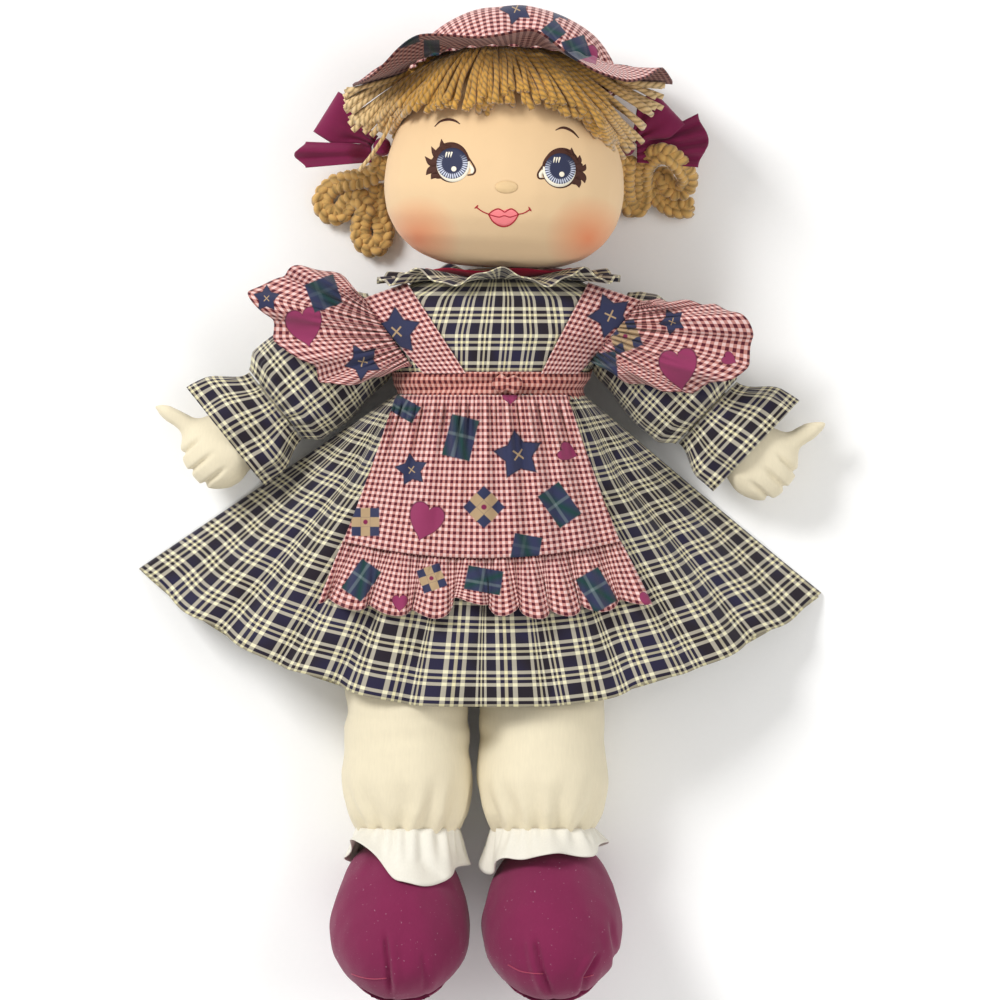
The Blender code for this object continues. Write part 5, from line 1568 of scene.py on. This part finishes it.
class DOLL_OT_bows(bpy.types.Operator):
    """Ties a cotton bow over each pigtail"""

    bl_idname = "doll.bows"
    bl_label = "Hair bows"

    def execute(self, context):
        tint = colours()
        cotton = plain_cotton("bow_cotton", "burgundy_cotton", tint.burgundy, 0.14)
        for side, word in SIDES:
            knot = KNOTS[side]
            turn, length, rise, end_wide, reach, lift, waves = BOWS[side]
            lean = Vector((side * cos(turn), sin(turn), 0))
            over = Vector((sin(turn), -side * cos(turn), 0))

            def loop(across, along):
                angle = TURN * across
                out = length * sin(pi * across) ** 0.8
                wide = mix(8 * MM, 29 * MM, ease(sin(pi * across) * 1.7))
                puff = 7.5 * MM * sin(angle) * (0.55 + 0.45 * sin(pi * along))
                pleat = 1.6 * MM * cos(5 * pi * along) * (1 - 0.8 * ease(out / length * 1.1))
                place = knot + lean * (5.6 * MM + out) + over * (wide * (along - 0.5))
                place = place + FRONT * (puff + pleat)
                return place + FRONT * 0.7 * MM * ripple(place, 0.012, side)

            knot_name = "bow_knot_cloth_" + word
            piece = tailored("bow_loop_cloth_" + word, 56, 20, loop, cotton)
            seat(piece, "bow_loop_" + word, "head")

            def tail(across, along):
                wide = mix(11 * MM, end_wide, along)
                x = knot.x + side * (6.5 * MM + reach * along * (1 - 0.08 * cos(TURN * across)))
                wave = 2.6 * MM * cos(waves * pi * across) * (0.3 + 0.7 * along)
                y = knot.y - 4.1 * MM + rise * along + wide * (across - 0.5)
                z = knot.z + wave + lift * ease(3 * along) + 0.5 * MM * ripple((x, y, 0), 0.01)
                return Vector((x, y, z))

            piece = tailored("bow_tail_cloth_" + word, 24, 30, tail, cotton)
            seat(piece, "bow_tail_" + word, "head")

            bm = bmesh.new()
            bmesh.ops.create_icosphere(bm, subdivisions=4, radius=5.4 * MM)
            for vert in bm.verts:
                turned_by = math.atan2(vert.co.y, vert.co.z)
                vert.co *= 1 + 0.06 * cos(7 * turned_by) + 0.05 * ripple(vert.co, 0.004)
                vert.co += knot
            piece = put(knot_name, bm, cotton)
            seat(piece, "bow_knot_" + word, "head")
        return {"FINISHED"}


class DOLL_OT_hat(bpy.types.Operator):
    """Makes the gathered crown and the floppy brim of the sun hat"""

    bl_idname = "doll.hat"
    bl_label = "Sun hat"

    def execute(self, context):
        cloth = gingham_cotton("gingham_hat", HAT_PRINT)

        def crown(across, along):
            angle = TURN * across
            arc = pi / 2 * along
            half_wide, half_deep = 0.063 * cos(arc) ** 1.2, 0.056 * cos(arc) ** 1.1
            gather = 1.5 * MM * cos(30 * angle + sin(4 * angle)) * bump_at(along, 0, 0.35)
            lump = 1.8 * MM * ripple((cos(angle), sin(angle), along * 1.6), 0.7, 2) * ease(along * 3)
            tuck = -4.0 * MM * bump_at(across, 0.76, 0.035) * bump_at(along, 0.28, 0.30)
            wide, deep = half_wide + gather + lump + tuck, half_deep + gather + lump + tuck
            point = HAT_PLACE @ Vector((cos(angle) * wide, sin(angle) * deep, 0.043 * sin(arc) + lump))
            point.z = max(point.z, 0.6 * MM)
            return point

        def crown_uv(across, along):
            reach = 0.077 * (1 - along * 0.98)
            return reach * cos(TURN * across), reach * sin(TURN * across)

        piece = tailored("hat_crown_cloth", 150, 34, crown, cloth,
                         closed=True, uv=crown_uv)
        add_print_map(piece)
        seat(piece, "hat_crown", "head")

        def brim(across, along):
            return HAT_PLACE @ brim_place(across, along)

        # Painted shade: the brim's underside is the hat gingham darkened to 0.42 and browned.
        under = gingham_cotton("gingham_underside_painted_shade", HAT_PRINT, 0.42)
        piece = tailored("hat_brim_cloth", 220, 16, brim, under,
                         closed=True, thickness=1.3 * MM)
        add_print_map(piece)
        piece.data.materials.append(cloth)
        piece.modifiers["cloth"].material_offset = 1
        seat(piece, "hat_brim", "head")
        return {"FINISHED"}


NECK_RADIUS = 0.0228
NECK_X, NECK_Y = 0.0053, 0.030


def round_neck(angle, wide, deep, lift):
    return Vector((NECK_X + cos(angle) * wide, NECK_Y + lift, BODY_AXIS + sin(angle) * deep))


class DOLL_OT_bodice(bpy.types.Operator):
    """Makes the plaid bodice, its collar ruffle and the burgundy facing"""

    bl_idname = "doll.bodice"
    bl_label = "Bodice"

    def execute(self, context):
        plaid = plaid_cotton()
        shell = tree_of("bodice")
        low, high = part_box("bodice")

        def bodice(across, along):
            angle = TURN * across
            y = mix(high.y - 0.4 * MM, low.y + 0.2 * MM, along)
            hit, way = around_body(shell, angle, y)
            top = ease(1 - along * 12)
            hit = hit + UPWARD * (3.6 * MM * top) - way * (1.5 * MM * top)
            gather = 0.8 * MM * cos(30 * angle) * bump_at(along, 1, 0.35)
            rumple = 0.7 * MM * ripple((angle * 0.02, y * 1.2, 0), 0.012, 8)
            place = hit + way * (gather + rumple - 0.2 * MM)
            place.z = max(place.z, 0.4 * MM)
            return place

        piece = tailored("bodice_cloth", 132, 26, bodice, plaid, closed=True,
                         uv=cut_cloth(0.34, 0.0655, 0.0003, 0.006))
        bm = bmesh.new()
        bm.from_mesh(piece.data)
        relax(bm, [vert for vert in bm.verts if not vert.is_boundary], 0.4, 3)
        bm.to_mesh(piece.data)
        bm.free()
        seat(piece, "bodice", "torso")

        def collar(across, along):
            angle = TURN * across
            wide = mix(NECK_RADIUS, 0.075, along)
            deep = mix(NECK_RADIUS, 0.047 if sin(angle) > 0 else 0.040, along)
            wave = 5.2 * MM * sin(9 * angle + 0.8 * sin(2 * angle)) * along**1.4
            fine = 1.6 * MM * sin(25 * angle + 1) * along * (1 - along * 0.3)
            lift = 3.6 * MM + mix(0.4 * MM, 4.6 * MM, along) - 3.0 * MM * max(sin(angle), 0) * along**3
            end = cos(angle) ** 6
            wave *= 1 - 0.75 * end
            lift -= (5.0 if cos(angle) < 0 else 3.0) * MM * end * along**2
            return round_neck(angle, wide, deep, lift + wave + fine)

        piece = tailored("collar_cloth", 190, 12, collar, plaid, closed=True,
                         seam_shift=(0.0, 0.003))
        seat(piece, "collar_ruffle", "torso")

        facing = plain_cotton("facing_cotton", "burgundy_cotton", srgb(156, 22, 52))

        def trim(across, along):
            angle = TURN * across
            wide = mix(NECK_RADIUS, 0.046, along)
            deep = mix(NECK_RADIUS, 0.030, along)
            wave = 0.9 * MM * sin(6 * angle) * along
            lift = 4.8 * MM + mix(0.8 * MM, 5.2 * MM, along * along)
            return round_neck(angle, wide, deep, lift + wave)

        piece = tailored("neck_facing", 96, 8, trim, facing, closed=True)
        seat(piece, "neck_trim", "torso")
        return {"FINISHED"}


class DOLL_OT_skirt(bpy.types.Operator):
    """Gathers the front and the back panel of the plaid skirt"""

    bl_idname = "doll.skirt"
    bl_label = "Skirt"

    def execute(self, context):
        plaid = bpy.data.materials["dress_plaid"]
        front = tailored("skirt_front_cloth", 240, 64, skirt_front_point, plaid,
                         uv=skirt_uv, thickness=0.9 * MM)
        seat(front, "skirt_front", "torso")
        follow_legs(front)
        back = tailored("skirt_back_cloth", 200, 50, skirt_back_point, plaid,
                        uv=skirt_uv, thickness=0.9 * MM)
        seat(back, "skirt_back", "torso")
        return {"FINISHED"}


class DOLL_OT_pinafore(bpy.types.Operator):
    """Makes the apron, its ruffle, the waistband, the straps and the shoulder frills"""

    bl_idname = "doll.pinafore"
    bl_label = "Pinafore"

    def execute(self, context):
        apron_cloth = gingham_cotton("gingham_apron", APRON_PRINT)
        apron = tailored("apron_cloth", 150, 40, apron_point, apron_cloth, uv=apron_uv)
        add_print_map(apron)
        seat(apron, "apron_skirt", "torso")
        follow_legs(apron)
        ruffle_cloth = gingham_cotton("gingham_ruffle", RUFFLE_PRINT)
        ruffle = tailored("ruffle_cloth", 260, 16, ruffle_point, ruffle_cloth)
        add_print_map(ruffle)
        seat(ruffle, "apron_ruffle", "torso")
        follow_legs(ruffle)

        # Painted shade: the plain gingham of the waistband and the sash twist is darkened and warmed.
        plain = gingham_cotton("gingham_plain_painted_shade", (), 0.84)
        band_tree = tree_of("apron_waistband")

        def band(across, along):
            angle = TURN * across
            front = ease(sin(angle) * 2 + 0.6)
            y = mix(-0.0200 - 0.0030 * front, -0.0338 - 0.0062 * front, along)
            hit, way = around_body(band_tree, angle, max(y, BODICE_FOOT))
            hit = hit + way * (1.6 * MM * front * along)
            hit.y = y
            twist = 0.7 * MM * cos(3 * pi * along + 2 * sin(2 * angle)) * bump_at(sin(angle), 1, 0.6)
            fold = 0.8 * MM * cos(9 * along + 4 * cos(angle)) * front
            place = hit + way * (0.5 * MM + 0.6 * MM * ripple(hit, 0.01, 2) + twist + fold)
            place.z = max(place.z, 0.5 * MM)
            return place

        piece = tailored("waistband_cloth", 132, 10, band, plain, closed=True,
                         uv=cut_cloth(0.36, 0.0175))
        seat(piece, "apron_waistband", "torso")

        low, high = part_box("apron_knot")
        middle, half = (low + high) / 2, (high - low) / 2
        bm = bmesh.new()
        bmesh.ops.create_icosphere(bm, subdivisions=4, radius=1.0)
        layer = bm.loops.layers.uv.new("cloth")
        for face in bm.faces:
            for loop in face.loops:
                loop[layer].uv = (loop.vert.co.x * half.x, loop.vert.co.y * half.y)
        for vert in bm.verts:
            grooves = 1 + 0.10 * cos(9 * vert.co.y + 5 * vert.co.x)
            pinch = 1 - 0.35 * bump_at(vert.co.x, 0, 0.5)
            flat = Vector((vert.co.x * half.x * 0.8, vert.co.y * half.y * 1.3 * grooves * pinch, 0))
            vert.co = middle + flat + Vector((0, -4 * MM, 1.2 * MM + vert.co.z * half.z * grooves))
        piece = put("sash_twist", bm, plain)
        seat(piece, "apron_knot", "torso")

        strap_cloth = gingham_cotton("gingham_straps", STRAP_PRINT)
        frill_cloth = gingham_cotton("gingham_frills", FRILL_PRINT)
        shoulders = tree_of("bodice")
        for side, word in SIDES:
            piece = tailored("strap_cloth_" + word, 36, 50, strap_point(side, shoulders), strap_cloth)
            add_print_map(piece)
            seat(piece, "strap_" + word, "torso")
            make_shoulder_frill(side, word, frill_cloth, shoulders)
        return {"FINISHED"}


class DOLL_OT_sleeves(bpy.types.Operator):
    """Gathers the puffed sleeves and their cuffs"""

    bl_idname = "doll.sleeves"
    bl_label = "Sleeves"

    def execute(self, context):
        plaid = bpy.data.materials["dress_plaid"]
        for side, word in SIDES:
            make_sleeve(side, word, plaid)
            make_cuff(side, word, plaid)
        return {"FINISHED"}


class DOLL_OT_ankle_frills(bpy.types.Operator):
    """Gathers a white frill round each ankle"""

    bl_idname = "doll.ankle_frills"
    bl_label = "Ankle frills"

    def execute(self, context):
        white = plain_cotton("frill_cotton", "white_cotton", colours().white, 0.05)
        for side, word in SIDES:
            ankle = HIPS[side].copy()
            ankle.y = ANKLE_HEIGHT
            shoe = tree_of(bpy.data.objects["shoe_form_" + word])

            def frill(across, along):
                angle = TURN * across
                front = max(sin(angle), 0)
                wave = 2.6 * MM * cos(8 * angle + 0.6 * side) * along
                fine = 1.3 * MM * cos(23 * angle + 2 * sin(3 * angle)) * bump_at(along, 0.1, 0.95)
                reach = mix(0.0306, 0.03675, along) + wave + fine
                deep = reach + 0.012 * front * along
                if side < 0:
                    fall = 1.12 - 0.95 * bump_at(angle, 2.45, 0.75)
                else:
                    fall = 0.56 + 0.80 * bump_at(angle, 2.85, 0.75)
                spread = 4.5 * MM * along * (1.05 - fall)
                reach, deep = reach + spread, deep + spread
                y = ankle.y - 0.0014 - (0.018 + 0.012 * front) * along * fall
                y += 2.2 * MM * along * sin(5 * angle + side)
                x, z = ankle.x + cos(angle) * reach, ankle.z + sin(angle) * deep
                over_shoe = max(z, top_of(shoe, x, y, 0) + (2.2 + cos(8 * angle)) * MM)
                return Vector((x, y, mix(z, over_shoe, ease(front / 0.4))))

            piece = tailored("ankle_frill_cloth_" + word, 176, 14, frill, white,
                             closed=True, crease=0.4 * MM)
            seat(piece, "ankle_frill_" + word, "leg_" + word)
        return {"FINISHED"}


class DOLL_OT_stage(bpy.types.Operator):
    """Sets the pale floor, the soft lights and the camera"""

    bl_idname = "doll.stage"
    bl_label = "Studio"

    def execute(self, context):
        scene = context.scene
        scene.view_settings.view_transform = "Standard"
        bm = bmesh.new()
        bmesh.ops.create_grid(bm, x_segments=8, y_segments=8, size=6.0)
        finish = Finish("floor", "", 0.9, 0.0)
        speckle = finish.grain(finish.place(), 300, 3)
        white = finish.shade(speckle, (0.96, 0.96, 0.955), (0.985, 0.985, 0.98))
        floor = put("floor", bm, finish.done(white), smooth=False)
        world = bpy.data.worlds.new("studio")
        scene.world = world
        world.use_nodes = True
        sky = world.node_tree.nodes["Background"]
        sky.inputs["Color"].default_value = (1, 0.99, 0.97, 1)
        sky.inputs["Strength"].default_value = 0.50
        for name, place, power, size in (
            ("key_light", (-2.2, 1.8, 2.5), 108, 1.3), ("fill_light", (2.4, 0.3, 2.4), 34, 2.2),
            ("foot_light", (0.2, -1.5, 1.4), 6, 1.2),
        ):
            lamp = bpy.data.lights.new(name, "AREA")
            lamp.energy = power
            lamp.size = size
            light = bpy.data.objects.new(name, lamp)
            light.location = place
            light.rotation_euler = (-Vector(place)).to_track_quat("-Z", "Y").to_euler()
            scene.collection.objects.link(light)
        # a long lens from far away: 1000 grid units fill the picture 50 mm above the floor
        camera = bpy.data.objects.new("camera", bpy.data.cameras.new("camera"))
        distance = 12.0
        camera.data.sensor_width = 36
        camera.data.lens = 36 * (distance - 0.05) / 0.615
        camera.location = (*spot(500, 500), distance)
        camera.rotation_euler = (0, 0, 0)
        camera.data.clip_start = 0.1
        camera.data.clip_end = 40
        scene.collection.objects.link(camera)
        scene.camera = camera
        return {"FINISHED"}


class DOLL_PT_panel(bpy.types.Panel):
    """Lists the sizes, the colours and the pieces"""

    bl_label = "Rag doll"
    bl_idname = "DOLL_PT_panel"
    bl_space_type = "VIEW_3D"
    bl_region_type = "UI"
    bl_category = "Rag doll"

    def draw(self, context):
        for group in (context.scene.doll_sizes, context.scene.doll_colours):
            for key in group.__annotations__:
                self.layout.prop(group, key)
        for operator in OPERATORS:
            self.layout.operator(operator.bl_idname)


OPERATORS = (
    DOLL_OT_stage, DOLL_OT_stuffed_parts, DOLL_OT_face, DOLL_OT_bodice, DOLL_OT_skirt, DOLL_OT_pinafore,
    DOLL_OT_sleeves, DOLL_OT_ankle_frills, DOLL_OT_hat, DOLL_OT_hair, DOLL_OT_bows, DOLL_OT_pigtails,
)


def register():
    for kind in (DollColours, DollSizes, *OPERATORS, DOLL_PT_panel):
        bpy.utils.register_class(kind)
    bpy.types.Scene.doll_colours = bpy.props.PointerProperty(type=DollColours)
    bpy.types.Scene.doll_sizes = bpy.props.PointerProperty(type=DollSizes)


def unregister():
    del bpy.types.Scene.doll_sizes
    del bpy.types.Scene.doll_colours
    for kind in reversed((DollColours, DollSizes, *OPERATORS, DOLL_PT_panel)):
        bpy.utils.unregister_class(kind)


def main():
    register()
    for operator in OPERATORS:
        group, name = operator.bl_idname.split(".")
        getattr(getattr(bpy.ops, group), name)()


if __name__ == "__main__":
    main()
